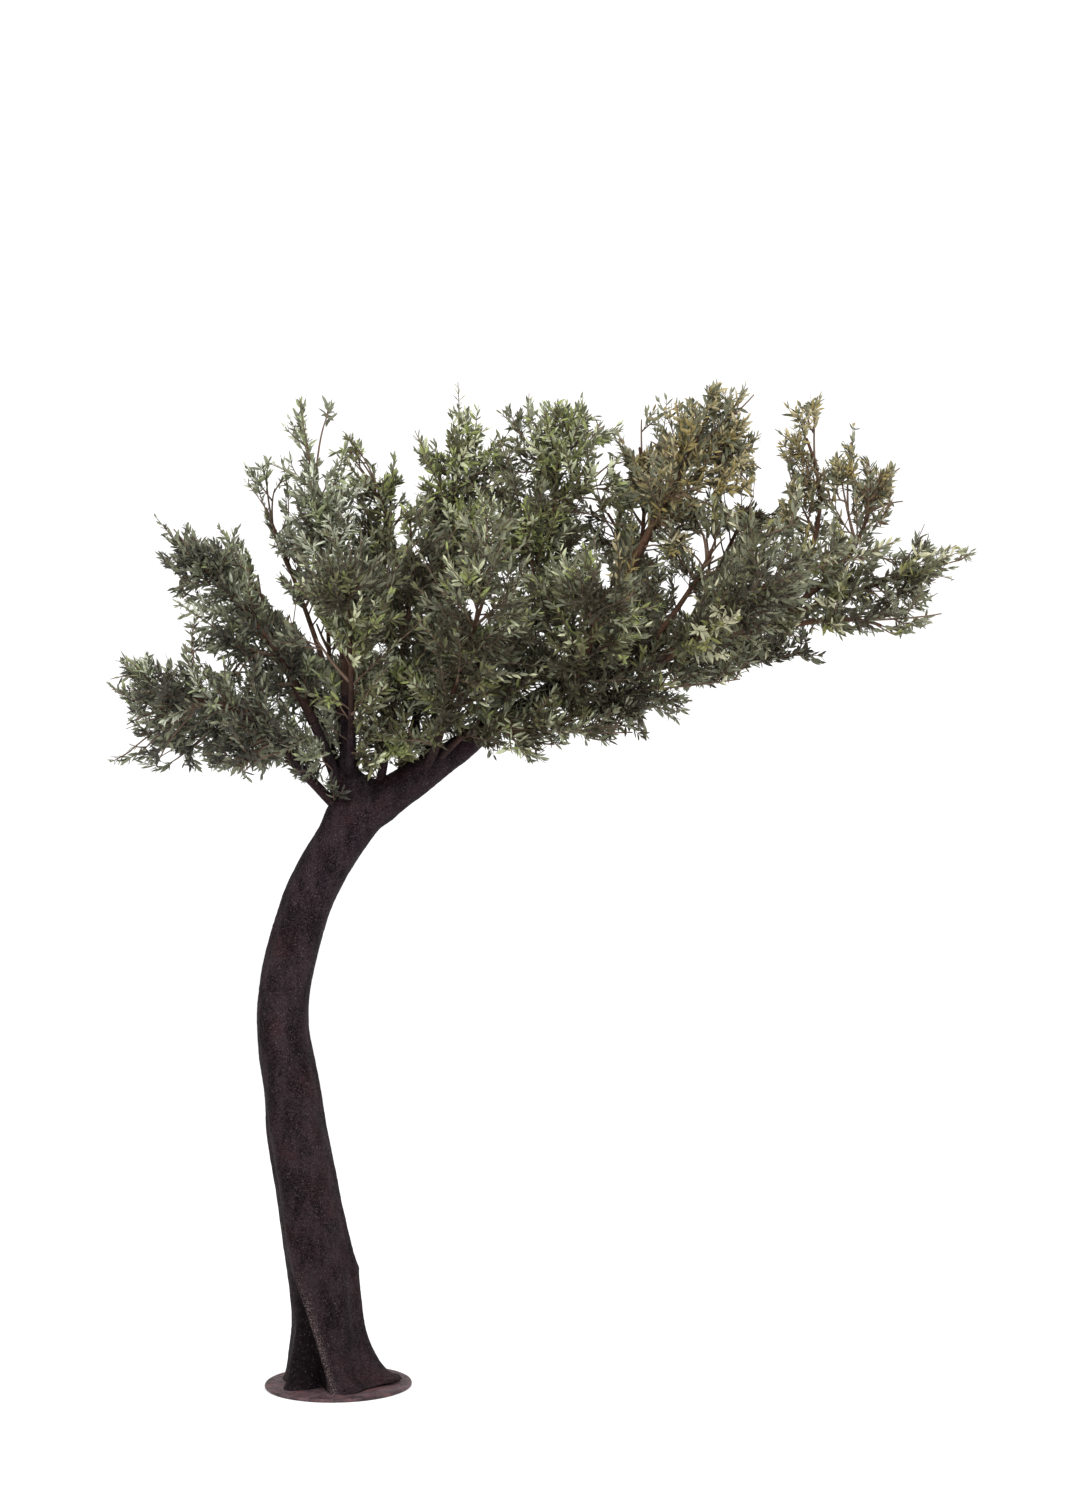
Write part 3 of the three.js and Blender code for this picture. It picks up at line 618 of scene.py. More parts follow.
def seen_in(points, places, ragged=0.5):
    """For points and places: true where a point, seen from the front, lies nearer to a place's line than
    its half width, which noise makes ragged."""
    away = (-EYE[1] / (points[:, 1] - EYE[1]))[:, None]
    seen = EYE[[0, 2]] + (points[:, [0, 2]] - EYE[[0, 2]]) * away
    run = places[:, 2:4] - places[:, :2]
    offset = seen[:, None] - places[:, :2]
    share = np.clip((offset * run).sum(-1) / (run * run).sum(-1), 0, 1)
    gap = np.linalg.norm(offset - share[..., None] * run, axis=-1)
    rough = 1 + ragged * lattice_noise(points / 40, 2.7)
    return gap < places[:, 4] * rough[:, None]


def in_sky(points):
    """True for points in one of the gaps where the sky shows, or before a bough that shows."""
    points = np.atleast_2d(points)
    before = points[:, 1:2] < BARE[:, 5]
    return seen_in(points, SKY).any(-1) | (seen_in(points, BARE, 0.3) & before).any(-1)


@lru_cache(maxsize=None)
def runners():
    """The runners as (mass, line): each leaves the line of its mass that passes nearest to its place or
    start, further back along it where that is further away."""
    rows = []
    for name, place, *near in RUNNERS:
        grown = grown_as(name)
        lines = grown.lines + [seen_lines()[name]]
        places = np.array([line.at(RUNNER_SHARES) for line in lines])
        gaps = np.linalg.norm(places - np.array(near[0] if near else place, float), axis=-1)
        nearest, spot = np.unravel_index(np.argmin(gaps), gaps.shape)
        spot = max(0, spot - int(gaps[nearest, spot] / lines[nearest].length() * RUNNER_BACK))
        start, end = places[nearest, spot], np.array(place, float)
        along = lines[nearest].along(RUNNER_SHARES[spot])
        middle = start + (end - start) * 0.5 + along * 0.2 * np.linalg.norm(end - start)
        line = Bend(start, middle, end, tapering(RUNNER_RADIUS, RUNNER_END), RUNNER_FIRST)
        rows.append((grown.index, line))
    return rows


@lru_cache(maxsize=None)
def all_sprays():
    """Every spray as (mass, root, direction, side, length): those of the masses, and the shoots round the
    golden angle on every stem, twig, bough and runner, clear of limbs, of each other and of the gaps of
    sky. Those on the lines of a mass stay near the spaces, and those on boughs near the fork rise."""
    crown = growth()[0].crown
    rows = [(grown.index, *spray) for grown in growth() for spray in grown.sprays]
    middles = np.concatenate([np.array(grown.middles) for grown in growth()])
    names = [mass.name for mass in crown.masses]
    sources = [("runner", RUNNER_NUMBERS + number, owner, line, line.first)
               for number, (owner, line) in enumerate(runners())]
    sources += [("mass", LINE_DRAWS * grown.index + number, grown.index, line, line.first)
                for grown in growth() for number, line in enumerate(grown.lines)]
    for number, (name, *_) in enumerate(LIMBS, BOUGH_NUMBERS):
        owner = names.index(name if name in names else "low_centre")
        sources.append(("bough", number, owner, seen_lines()[name], BARE_SHARE))
    for kind, number, owner, line, first in sources:
        step, sizes, room, least = SHOOTS[kind]
        steps = max(1, round(line.length() * (1 - first) / step))
        for i in range(steps + 1):
            count = LINE_DRAWS * number + i
            share = mix(first, SHOOT_LAST, min(i + 0.5, steps) / steps)
            root, along = line.at(share), line.along(share)
            angle = SHOOT_ANGLE * mix(0.7, 1.3, draw(ANGLE_DRAW, count)) * (0.1 if i == steps else 1)
            way_out = leaving(along, out_from(along, count * GOLDEN_ANGLE), angle)
            direction = unit(way_out + SHOOT_LIFT * UP)
            side = out_from(direction, math.pi * draw(ROLL_DRAW, count))
            if direction[2] < (BARE_RISE if kind == "bough" and root[0] < BARE_BELOW else least):
                continue
            for size in sizes:
                length = SPRAY_LENGTH * size * mix(*SPRAY_RANGE, draw(LENGTH_DRAW, count))
                own = root + direction * (SPRAY_MIDDLES * length)[:, None]
                gaps = np.linalg.norm(middles[:, None] - own, axis=-1)
                if ((gaps > room).all()
                        and (kind != "mass" or (crown.depths(own).min(1) < SHOOT_SKIN).all())
                        and clear_of(crown.limbs, own, LIMB_ROOM) and not in_sky(own[1:2]).any()):
                    rows.append((owner, root, direction, side, length))
                    middles = np.concatenate((middles, own))
                    break
    return rows


class Fine:
    """Fine lines as arrays: start, middle and end places, radii at both ends, the mass and spray each
    belongs to, and the share along its spray's leader that each starts from, -1 for a leader itself."""

    KEYS = ("start", "middle", "end", "thick", "thin", "mass", "spray", "spot")

    def __init__(self, start, middle, end, thick, thin, mass, spray, spot):
        self.start, self.middle, self.end = start, middle, end
        self.thick, self.thin, self.mass, self.spray, self.spot = thick, thin, mass, spray, spot
        self.leader = spot < 0
        self.length = np.linalg.norm(middle - start, axis=1) + np.linalg.norm(end - middle, axis=1)

    def at(self, index, share):
        share = share[:, None]
        return (self.start[index] * (1 - share) ** 2 + 2 * self.middle[index] * share * (1 - share)
                + self.end[index] * share ** 2)

    def along(self, index, share):
        share = share[:, None]
        return unit((self.middle[index] - self.start[index]) * (1 - share)
                    + (self.end[index] - self.middle[index]) * share)

    def kept(self, keep):
        return Fine(*(getattr(self, key)[keep] for key in self.KEYS))


def joined_fine(several):
    return Fine(*(np.concatenate([getattr(each, key) for each in several]) for key in Fine.KEYS))


def fine_twigs():
    """Each spray as a fine twig that lifts towards its tip, with shorter ones leaving it in pairs."""
    rows = all_sprays()
    mass = np.array([row[0] for row in rows])
    root, direction, side = (np.array([row[column] for row in rows]) for column in (1, 2, 3))
    length = np.array([row[4] for row in rows])
    count = len(rows)
    spray = np.arange(count)
    key = root + direction * length[:, None]

    lift = (dealt(key, 1, 0.02, 0.16) * length)[:, None] * UP
    stray = np.stack([spread_about(key, number, 0.15) for number in (2, 3, 4)], -1) * length[:, None]
    middle = root + direction * length[:, None] * 0.45 - 0.35 * stray
    end = root + direction * (length * dealt(key, 5, 0.74, 1.16))[:, None] + lift + stray
    end = np.clip(end, LOWEST_END, HIGHEST_END)
    whole = np.ones(count)
    leaders = Fine(root, middle, end, *(radius * whole for radius in LEADER_RADII), mass, spray, -whole)
    sets = [leaders]
    for share, angle, size, turn in TWIGLETS:
        for way in (-1, 1):
            number = 100 * share + way * 3
            spot = np.clip(share + dealt(key, number + 10, -0.05, 0.05), 0.05, 0.9)
            start = leaders.at(spray, spot)
            along = leaders.along(spray, spot)
            across = unit(side - (side * along).sum(-1, keepdims=True) * along)
            square = np.cross(along, across)
            roll = (turn + dealt(key, number + 20, -0.4, 0.4))[:, None]
            out = (across * np.cos(roll) + square * np.sin(roll)) * way
            way_out = leaving(along, out, angle + dealt(key, number + 30, -0.3, 0.3))
            run = (length * size * dealt(key, number + 40, 0.75, 1.15))[:, None]
            keep = dealt(key, number + 50) < 0.86
            tip = start + way_out * run + along * run * 0.12 + UP * run * 0.08
            tip = np.clip(tip, LOWEST_END, HIGHEST_END)
            radii = (radius * whole for radius in TWIGLET_RADII)
            sets.append(Fine(start, start + way_out * run * 0.5, tip, *radii, mass, spray, spot).kept(keep))
    return joined_fine(sets)


@lru_cache(maxsize=None)
def twiglets():
    """The fine twigs, thinned out in small clumps by noise, and more so in one place on the right. None
    starts in a gap of sky, one that runs into a gap is cut short, and none grows on a leader's lost end."""
    fine = fine_twigs()
    every = np.arange(len(fine.start))

    def spots(share):
        return fine.at(every, np.full(len(every), share))

    sparse = THINNED + THINNED_MORE * around(spots(0.5), 1620, 2540, 170, 230)
    gone = ~fine.leader & (lattice_noise(spots(0.5) / 48, 4.1) < sparse)
    gone |= in_sky(spots(0.35))
    cut = np.where(in_sky(spots(0.5)), 0.35, np.where(in_sky(spots(0.9)), 0.55, 1.0))
    middle = fine.start + (fine.middle - fine.start) * cut[:, None]
    reach = np.zeros(fine.spray.max() + 1)
    reach[fine.spray[fine.leader]] = np.where(gone, 0, cut)[fine.leader]
    gone |= ~fine.leader & (fine.spot > reach[fine.spray] - 0.03)
    rest = (getattr(fine, key) for key in Fine.KEYS[3:])
    return Fine(fine.start, middle, fine.at(every, cut), *rest).kept(~gone)


def leaves_on(fine, step, first):
    """Opposite pairs of leaves along fine lines, each pair a quarter turn on, with one leaf more at each tip.
    Returns root, direction, face, length and line of each leaf."""
    pairs = np.maximum(2, np.round(fine.length * (1 - first) / step)).astype(int)
    line = np.repeat(np.arange(len(pairs)), pairs)
    number = np.arange(len(line)) - np.repeat(np.cumsum(pairs) - pairs, pairs)
    share = first + (1 - first) * (number + 0.6) / pairs[line]
    key = fine.end[line] + number[:, None]
    share = np.clip(share + dealt(key, 1, -0.35, 0.35) / pairs[line], 0, 0.995)
    along = fine.along(line, share)
    turn = number * 0.5 * math.pi + dealt(fine.end, 2, 0, ROUND)[line] + dealt(key, 3, -0.6, 0.6)
    out = out_from(along, turn)
    root = fine.at(line, share)
    grown = 0.7 + 0.34 * np.sin(math.pi * np.clip(share, 0, 1) ** 0.8)
    sets = []
    for way in (-1, 1):
        angle = mix(1.0, 0.5, share) + spread_about(key, 5 * way, 0.25)
        direction = leaving(along, out * way, angle)
        face = leaving(along, -out * way, 0.5 * math.pi - angle)
        grows = dealt(key, 12 * way) < 0.93
        sets.append(tuple(part[grows] for part in
                          (root, direction, face, grown * dealt(key, 15 * way, 0.62, 1.3), line)))
    tips = np.arange(len(pairs))
    along = fine.along(tips, np.ones(len(tips)))
    out = out_from(along, dealt(fine.end, 21, 0, ROUND))
    direction = leaving(along, out, dealt(fine.end, 22, 0, 0.3))
    face = out_from(direction, dealt(fine.end, 23, 0, ROUND))
    sets.append((fine.at(tips, np.ones(len(tips))), direction, face, dealt(fine.end, 24, 0.6, 0.9), tips))
    return tuple(np.concatenate(parts) for parts in zip(*sets))


# Meshes from arrays


def new_piece(name, points, faces, materials, kinds=None, smooth=False, attributes=None):
    """A mesh object at the origin from points in millimetres and groups of faces with equal corners."""
    mesh = bpy.data.meshes.new(name)
    faces = [np.asarray(group, np.int32) for group in faces if len(group)]
    corners = np.concatenate([group.ravel() for group in faces])
    sizes = np.concatenate([np.full(len(group), group.shape[1], np.int32) for group in faces])
    mesh.vertices.add(len(points))
    mesh.vertices.foreach_set("co", (np.asarray(points, float) * MM).astype(np.float32).ravel())
    mesh.loops.add(len(corners))
    mesh.loops.foreach_set("vertex_index", corners)
    mesh.polygons.add(len(sizes))
    mesh.polygons.foreach_set("loop_start", np.concatenate(([0], np.cumsum(sizes)[:-1])).astype(np.int32))
    for material in materials:
        mesh.materials.append(material)
    if kinds is not None:
        mesh.polygons.foreach_set("material_index", np.asarray(kinds, np.int32))
    mesh.polygons.foreach_set("use_smooth", np.full(len(sizes), smooth))
    for key, values in (attributes or {}).items():
        layer = mesh.attributes.new(key, "FLOAT", "POINT")
        layer.data.foreach_set("value", np.asarray(values, np.float32))
    mesh.update(calc_edges=True)
    if mesh.validate():
        raise ValueError(f"the mesh of {name} had faulty faces")
    piece = bpy.data.objects.new(name, mesh)
    bpy.context.scene.collection.objects.link(piece)
    return piece


def tube_faces(stations, sides):
    """Quads between the rings of a tube and fans to its two end points, facing outwards."""
    ring, side = np.meshgrid(np.arange(stations - 1), np.arange(sides), indexing="ij")
    here, there = side.ravel(), (side.ravel() + 1) % sides
    low, high = ring.ravel() * sides, (ring.ravel() + 1) * sides
    quads = np.stack((low + here, high + here, high + there, low + there), -1)
    this = np.arange(sides)
    after = (this + 1) % sides
    foot, tip = stations * sides, stations * sides + 1
    last = (stations - 1) * sides
    fans = np.concatenate((
        np.stack((np.full(sides, foot), this, after), -1),
        np.stack((np.full(sides, tip), last + after, last + this), -1),
    ))
    return quads, fans


def tube(line, shares, sides, relief=None, pointed=0.0):
    """A closed tube: at each share and angle, the line's place + (first cos + second sin) (radius + relief).
    Where it is pointed, its end point stands that far out from the last ring."""
    angles = np.linspace(0, 2 * math.pi, sides, endpoint=False)
    place, along = line.at(shares), line.along(shares)
    first, second = square_to(along)
    share, angle = np.meshgrid(shares, angles, indexing="ij")
    radius = line.radius(share, angle) if isinstance(line, TrunkLine) else line.radius(share)
    if relief is not None:
        radius = radius + relief(share, angle)
    out = first[:, None] * np.cos(angle)[..., None] + second[:, None] * np.sin(angle)[..., None]
    rings = place[:, None] + out * radius[..., None]
    ends = np.stack((place[0], place[-1] + along[-1] * pointed))
    return np.concatenate((rings.reshape(-1, 3), ends)), *tube_faces(len(shares), sides)


def many_tubes(fine, stations, sides):
    """Closed tubes along many fine lines at once, each ring square to its line, with pointed ends."""
    count = len(fine.start)
    shares = np.linspace(0, 1, stations)
    index = np.repeat(np.arange(count), stations)
    share = np.tile(shares, count)
    place, along = fine.at(index, share), fine.along(index, share)
    first, second = square_to(along)
    angle = np.linspace(0, 2 * math.pi, sides, endpoint=False)
    out = first[:, None] * np.cos(angle)[:, None] + second[:, None] * np.sin(angle)[:, None]
    radius = mix(fine.thick[index], fine.thin[index], share)
    rings = (place[:, None] + out * radius[:, None, None]).reshape(count, stations * sides, 3)
    tips = fine.end + fine.along(np.arange(count), np.ones(count)) * fine.thin[:, None]
    points = np.concatenate((rings, fine.start[:, None], tips[:, None]), 1)
    quads, fans = tube_faces(stations, sides)
    start = (np.arange(count) * (stations * sides + 2))[:, None, None]
    return points.reshape(-1, 3), (quads + start).reshape(-1, 4), (fans + start).reshape(-1, 3)


def stacked(meshes):
    """Several meshes as one: points, quads and triangles, each after the last."""
    points, quads, fans, start = [], [], [], 0
    for part in meshes:
        points.append(part[0])
        quads.append(part[1] + start)
        fans.append(part[2] + start)
        start += len(part[0])
    return np.concatenate(points), np.concatenate(quads), np.concatenate(fans)


def lattice_noise(points, seed=0.0):
    """Smooth noise between -1 and 1: a draw at each whole corner, mixed in between by 3t^2 - 2t^3."""
    cell = np.floor(points)
    part = points - cell
    ease = part * part * (3 - 2 * part)
    total = np.zeros(points.shape[:-1])
    for corner in product((0, 1), repeat=3):
        wave = np.sin((cell + corner) @ np.array((12.9898, 78.233, 37.719)) + seed) * SCATTER
        weight = np.where(np.array(corner, bool), ease, 1 - ease).prod(-1)
        total += weight * (2 * (wave - np.floor(wave)) - 1)
    return total


def layered_noise(points, seed, layers):
    """Noise in layers, each at twice the scale and half the height of the last."""
    return sum(0.5 ** i * lattice_noise(points * 2 ** i, seed + 17 * i) for i in range(layers))


def turn_between(angle, middle):
    return np.arctan2(np.sin(angle - middle), np.cos(angle - middle))


def bump(offset, width):
    return np.exp(-(offset / width) ** 2)


def around(points, x, z, width, height):
    """How near points lie to a place seen from the front: 1 there, less with width and height from it."""
    return bump(points[:, 0] - x, width) * bump(points[:, 2] - z, height)


def fibres(radius, run, angle, width, long, seed):
    """Grain that runs along a limb: noise on its skin, stretched along its run."""
    spot = np.stack((np.cos(angle) * radius / width, np.sin(angle) * radius / width, run / long), -1)
    return layered_noise(spot, seed, 3)


def foot_ridge(height, angle):
    """How far round the trunk a place lies from the ridge of its buttress, which leans to the left as it
    rises, and how much of the foot's shape it still has at its height."""
    ridge = 1.5 + 0.5 * np.clip(height / 230, 0, 1.6)
    return turn_between(angle, ridge), 1 / (1 + np.exp((height - 280) / 40))


def trunk_relief(depth):
    """What stands out of the trunk: swellings, long fibres, the flare on the plate, one buttress with the
    hollow on its left that runs down the front of the foot, and a low knob on the right."""
    line = limb_lines()["trunk"]

    def relief(share, angle):
        height = line.station(share)[..., 0]
        above = np.maximum(height - PLATE_THICKNESS, 0)
        flare = (30 + 8 * np.cos(angle - 0.3)) * (1 - np.sqrt(np.clip(above / 70, 0, 1))) ** 2
        slimmer = (24 * bump(turn_between(angle, 0.1), 0.9) * bump(height - 110, 110)
                   + 26 * bump(turn_between(angle, 1.3), 0.8) * bump(height, 150))
        off, low = foot_ridge(height, angle)
        buttress = 24 * bump(off, 0.15) * low
        hollow = -50 * bump(off - 0.42, 0.3) * low
        second = -12 * bump(off + 0.7, 0.28) * low
        knob = 10 * bump(turn_between(angle, -0.05), 0.5) * np.exp(-np.abs(height - 320) / 30)
        ridge = (5 * bump(turn_between(angle, 0.7 + height / 900), 0.25)
                 - 5 * bump(turn_between(angle, 1.9 + height / 700), 0.3))
        skin = np.stack((np.cos(angle) * 0.9, np.sin(angle) * 0.9, height / 190), -1)
        swelling = 4.0 * layered_noise(skin, 3.1, 2)
        swelling = swelling + 26 * bump(turn_between(angle, 3.0), 0.9) * bump(height - 1668, 55)
        swelling = swelling - 14 * np.sin(angle) ** 2 * np.clip((height - 1290) / 390, 0, 1) ** 1.5
        grain = fibres(90, height, angle, 24, 120, 8.3)
        return (flare - slimmer + buttress + hollow + second + knob + ridge * np.clip(height / 500, 0, 1)
                + swelling + depth * 1.3 * grain)
    return relief


def foot_marks(points):
    """Two attributes of the trunk's skin: the first is painted shade, in the hollows of its foot and towards
    the front of its left side, and the second, ridge, is painted highlight on its buttress.
    """
    line = limb_lines()["trunk"]
    stations = line.station(np.linspace(0, 1, 400))
    lean = np.interp(points[:, 2], stations[:, 0], stations[:, 1])
    angle = np.arctan2(-points[:, 1], points[:, 0] - lean)
    off, low = foot_ridge(points[:, 2], angle)
    # Painted shade: darkening in the hollows of the foot
    recess = low * (bump(off - 0.42, 0.34) + 0.35 * bump(off + 0.62, 0.2))
    # More painted shade towards the front of the left side of the foot
    recess = recess + 0.5 * low * bump(turn_between(angle, 2.6), 0.5)
    return np.clip(recess, 0, 1), low * bump(off, 0.12)


def bough_relief(line, seed, depth, slimmer=0.0):
    """Swellings and fibres on a bough, less where it is thin, and how much slimmer its lower side is
    further out."""
    length = line.length()

    def relief(share, angle):
        radius = line.radius(share)
        run = share * length
        skin = np.stack((np.cos(angle), np.sin(angle), run / 70), -1)
        swelling = 0.05 * radius * layered_noise(skin, seed, 2)
        swelling = swelling - slimmer * bump(turn_between(angle, 0), 0.9) * bump(share - 0.66, 0.15)
        return swelling + depth * np.minimum(1.2, radius * 0.04) * fibres(radius, run, angle, 18, 90, seed)
    return relief


def vertex_normals(points, quads):
    """The mean direction of the quads round each point, from the cross product of their diagonals."""
    corners = points[quads]
    face = np.cross(corners[:, 2] - corners[:, 0], corners[:, 3] - corners[:, 1])
    total = np.zeros_like(points)
    for corner in range(4):
        for axis in range(3):
            total[:, axis] += np.bincount(quads[:, corner], face[:, axis], len(points))
    return unit(total)


def relaxed(points, quads, weight, rounds):
    """Points drawn towards the mean of their neighbours, as far as their weight says, round after round."""
    pairs = np.concatenate([quads[:, [i, (i + 1) % 4]] for i in range(4)])
    start, end = pairs[:, 0], pairs[:, 1]
    count = np.bincount(start, minlength=len(points))
    for _ in range(rounds):
        mean = np.stack([np.bincount(start, points[end, axis], len(points)) for axis in range(3)], -1)
        points = points + (mean / count[:, None] - points) * (0.6 * weight)[:, None]
    return points


def fused(points, quads, fans, grain):
    """One closed skin over solids that run into each other, in even quads as large as the grain."""
    rough = new_piece("rough_skin", points, (quads, fans), ())
    fuse = rough.modifiers.new("Fuse", "REMESH")
    fuse.mode = "VOXEL"
    fuse.voxel_size = grain * MM
    fuse.adaptivity = 0.0
    done = rough.evaluated_get(bpy.context.evaluated_depsgraph_get()).to_mesh()
    skin = np.empty(len(done.vertices) * 3)
    done.vertices.foreach_get("co", skin)
    corners = np.empty(len(done.loops), np.int32)
    done.loops.foreach_get("vertex_index", corners)
    if len(corners) != 4 * len(done.polygons):
        raise ValueError("the fused skin isn't all quads")
    mesh = rough.data
    bpy.data.objects.remove(rough)
    bpy.data.meshes.remove(mesh)
    return skin.reshape(-1, 3) / MM, corners.reshape(-1, 4)


# Finishes


def colour(red, green, blue):
    """A colour given from 0 to 255 as it shows, as the linear values that Blender works in."""
    shown = np.array((red, green, blue)) / 255
    linear = np.where(shown <= 0.04045, shown / 12.92, ((shown + 0.055) / 1.055) ** 2.4)
    return *linear.tolist(), 1.0


def darker(tone, share):
    return *(share * value for value in tone[:3]), 1.0


class Nodes:
    """Short ways to set the nodes of one material."""

    def __init__(self, name):
        self.material = bpy.data.materials.new(name)
        self.material.use_nodes = True
        self.tree = self.material.node_tree
        self.place = self.new("ShaderNodeTexCoord").outputs["Object"]

    def put(self, node, inputs):
        """Each input gets a link from an output, or else a value of its own."""
        for key, value in inputs.items():
            if isinstance(value, bpy.types.NodeSocket):
                self.tree.links.new(value, node.inputs[key])
            else:
                node.inputs[key].default_value = value

    def new(self, kind, inputs=None, **values):
        node = self.tree.nodes.new(kind)
        for key, value in values.items():
            setattr(node, key, value)
        self.put(node, inputs or {})
        return node

    def stretched(self, scale):
        return self.new("ShaderNodeMapping", {"Vector": self.place, "Scale": scale}).outputs["Vector"]

    def noise(self, scale, detail=3.0, roughness=0.55, vector=None):
        inputs = {"Vector": vector or self.place, "Scale": scale, "Detail": detail, "Roughness": roughness}
        return self.new("ShaderNodeTexNoise", inputs).outputs["Fac"]

    def cells(self, scale):
        return self.new("ShaderNodeTexVoronoi", {"Vector": self.place, "Scale": scale}).outputs["Distance"]

    def between(self, value, low, high, start=0.0, end=1.0):
        inputs = {"Value": value, "From Min": low, "From Max": high, "To Min": start, "To Max": end}
        return self.new("ShaderNodeMapRange", inputs).outputs["Result"]

    def mixed(self, share, first, second):
        return self.new("ShaderNodeMix", {0: share, 6: first, 7: second}, data_type="RGBA").outputs[2]

    def relief(self, height, distance, strength=1.0, **under):
        inputs = {"Height": height, "Distance": distance, "Strength": strength, **under}
        return self.new("ShaderNodeBump", inputs).outputs["Normal"]

    def attribute(self, name):
        return self.new("ShaderNodeAttribute", attribute_name=name).outputs["Fac"]

    def finish(self, base, rough, **sockets):
        shader = self.tree.nodes["Principled BSDF"]
        self.put(shader, {"Base Color": base, "Roughness": rough})
        self.put(shader, {key.replace("_", " "): value for key, value in sockets.items()})
        return self.material


def bark_finish(name, bark, tip=None):
    """Moulded resin bark: fine dark and light mottling, warmer patches, pale flecks that are painted glints,
    and fine grain in relief. Its own attributes paint shade into the recesses of the foot, paint pale
    highlights along the ridge of its buttress and turn the bark to the tip colour with age."""
    dark, light, warm = tuple(bark.dark), tuple(bark.light), tuple(bark.warm)
    nodes = Nodes(name)
    along = nodes.stretched((1.0, 1.0, 0.5))
    coarse = nodes.between(nodes.noise(22, 4, 0.6, along), 0.38, 0.62)
    fine_spots = nodes.between(nodes.noise(210, 4, 0.7), 0.4, 0.62)
    mottle = nodes.between(nodes.mixed(0.6, coarse, fine_spots), 0.1, 0.95)
    patch = nodes.between(nodes.noise(9, 3, 0.55), 0.5, 0.64, 0, 0.6)
    # Painted glints: pale flecks that stand in for the glints of the resin
    painted_glint = nodes.between(nodes.noise(240, 3, 0.65), 0.6, 0.7)
    base = nodes.mixed(mottle, dark, light)
    base = nodes.mixed(patch, base, nodes.mixed(mottle, dark, warm))
    if tip is not None:
        worn = nodes.mixed(mottle, darker(tip, 0.62), tip)
        base = nodes.mixed(nodes.attribute("age"), base, worn)
    # Painted shade: the hollows of the foot and its left side turn nearly black
    base = nodes.mixed(nodes.between(nodes.attribute("recess"), 0, 1, 0, 0.85), base, colour(9, 5, 7))
    # The painted glints, pale flecks over the bark
    base = nodes.mixed(nodes.between(painted_glint, 0, 1, 0, 0.45), base, colour(112, 98, 98))
    # Painted highlights: pale spots along the ridge of the buttress
    ridge = nodes.between(nodes.attribute("ridge"), 0, 1, 0, 0.7)
    pale = nodes.mixed(ridge, (0, 0, 0, 1), nodes.between(nodes.noise(260, 3, 0.7), 0.5, 0.62))
    base = nodes.mixed(pale, base, colour(128, 112, 110))
    rough = nodes.between(nodes.noise(90, 3), 0.3, 0.7, 0.55, 0.85)
    grain = nodes.relief(nodes.noise(520, 3, 0.65), 0.0012, 0.7)
    pebble = nodes.relief(nodes.cells(150), 0.0016, 0.6, Normal=grain)
    fibre = nodes.relief(nodes.noise(70, 4, 0.6, along), 0.004, 0.6, Normal=pebble)
    return nodes.finish(base, rough, Normal=fibre, Specular_IOR_Level=0.03)


def plate_finish(bark):
    """Painted steel, textured: speckled brown with a fine even grain."""
    nodes = Nodes("plate_paint")
    cloud = nodes.between(nodes.noise(40, 5, 0.7), 0.38, 0.62)
    warm = nodes.between(nodes.noise(24, 3, 0.6), 0.5, 0.62, 0, 0.7)
    speck = nodes.between(nodes.noise(300, 3, 0.7), 0.54, 0.68, 0, 0.6)
    base = nodes.mixed(cloud, tuple(bark.plate_dark), tuple(bark.plate_light))
    base = nodes.mixed(warm, base, colour(92, 58, 60))
    base = nodes.mixed(speck, base, colour(136, 116, 116))
    rough = nodes.between(nodes.noise(60, 3), 0.3, 0.7, 0.5, 0.75)
    grain = nodes.relief(nodes.noise(500, 3, 0.6), 0.001, 0.7)
    return nodes.finish(base, rough, Normal=grain, Metallic=0.1, Specular_IOR_Level=0.15)


def leaf_finish(name, tone, shade=0.78, rough=0.5):
    """Printed leaf cloth: one plain tone with slightly darker streaks and a fine weave in relief."""
    nodes = Nodes(name)
    streak = nodes.between(nodes.noise(160, 3, 0.6), 0.38, 0.62)
    base = nodes.mixed(streak, darker(tone, shade), tone)
    weave = nodes.relief(nodes.noise(900, 2, 0.5), 0.0004, 0.5)
    rough = nodes.between(streak, 0, 1, rough + 0.1, rough - 0.04)
    return nodes.finish(base, rough, Normal=weave, Specular_IOR_Level=0.25)


def twig_finish(name, tone):
    """Wrapped twigs: dull brown with darker bands of the wrapping."""
    nodes = Nodes(name)
    band = nodes.between(nodes.noise(130, 4, 0.6), 0.38, 0.62)
    base = nodes.mixed(band, darker(tone, 0.6), tone)
    return nodes.finish(base, 0.7, Normal=nodes.relief(nodes.noise(500, 3), 0.001, 0.6))


# Settings that a user would change


def tone_property(name, description, values):
    return bpy.props.FloatVectorProperty(
        name=name, description=description, subtype="COLOR", size=4, min=0, max=1, default=values)


class BarkSettings(bpy.types.PropertyGroup):
    grain: bpy.props.FloatProperty(
        name="Skin grain", description="Size of the even faces of the trunk's skin",
        default=0.0055, min=0.003, max=0.02, unit="LENGTH")
    relief: bpy.props.FloatProperty(
        name="Relief", description="How strongly the fibres stand out of the bark", default=1.0, min=0, max=3)
    dark: tone_property("Dark bark", "Bark in its hollows", colour(10, 6, 8))
    light: tone_property("Light bark", "Bark on its raised parts", colour(48, 39, 43))
    warm: tone_property("Warm bark", "Bark in its reddish patches", colour(52, 33, 36))
    bough: tone_property("Bough bark", "Bark towards the end of a bough", colour(84, 62, 50))
    plate_light: tone_property("Plate, light", "Lighter paint of the base plate", colour(84, 66, 70))
    plate_dark: tone_property("Plate, dark", "Darker paint of the base plate", colour(38, 27, 31))


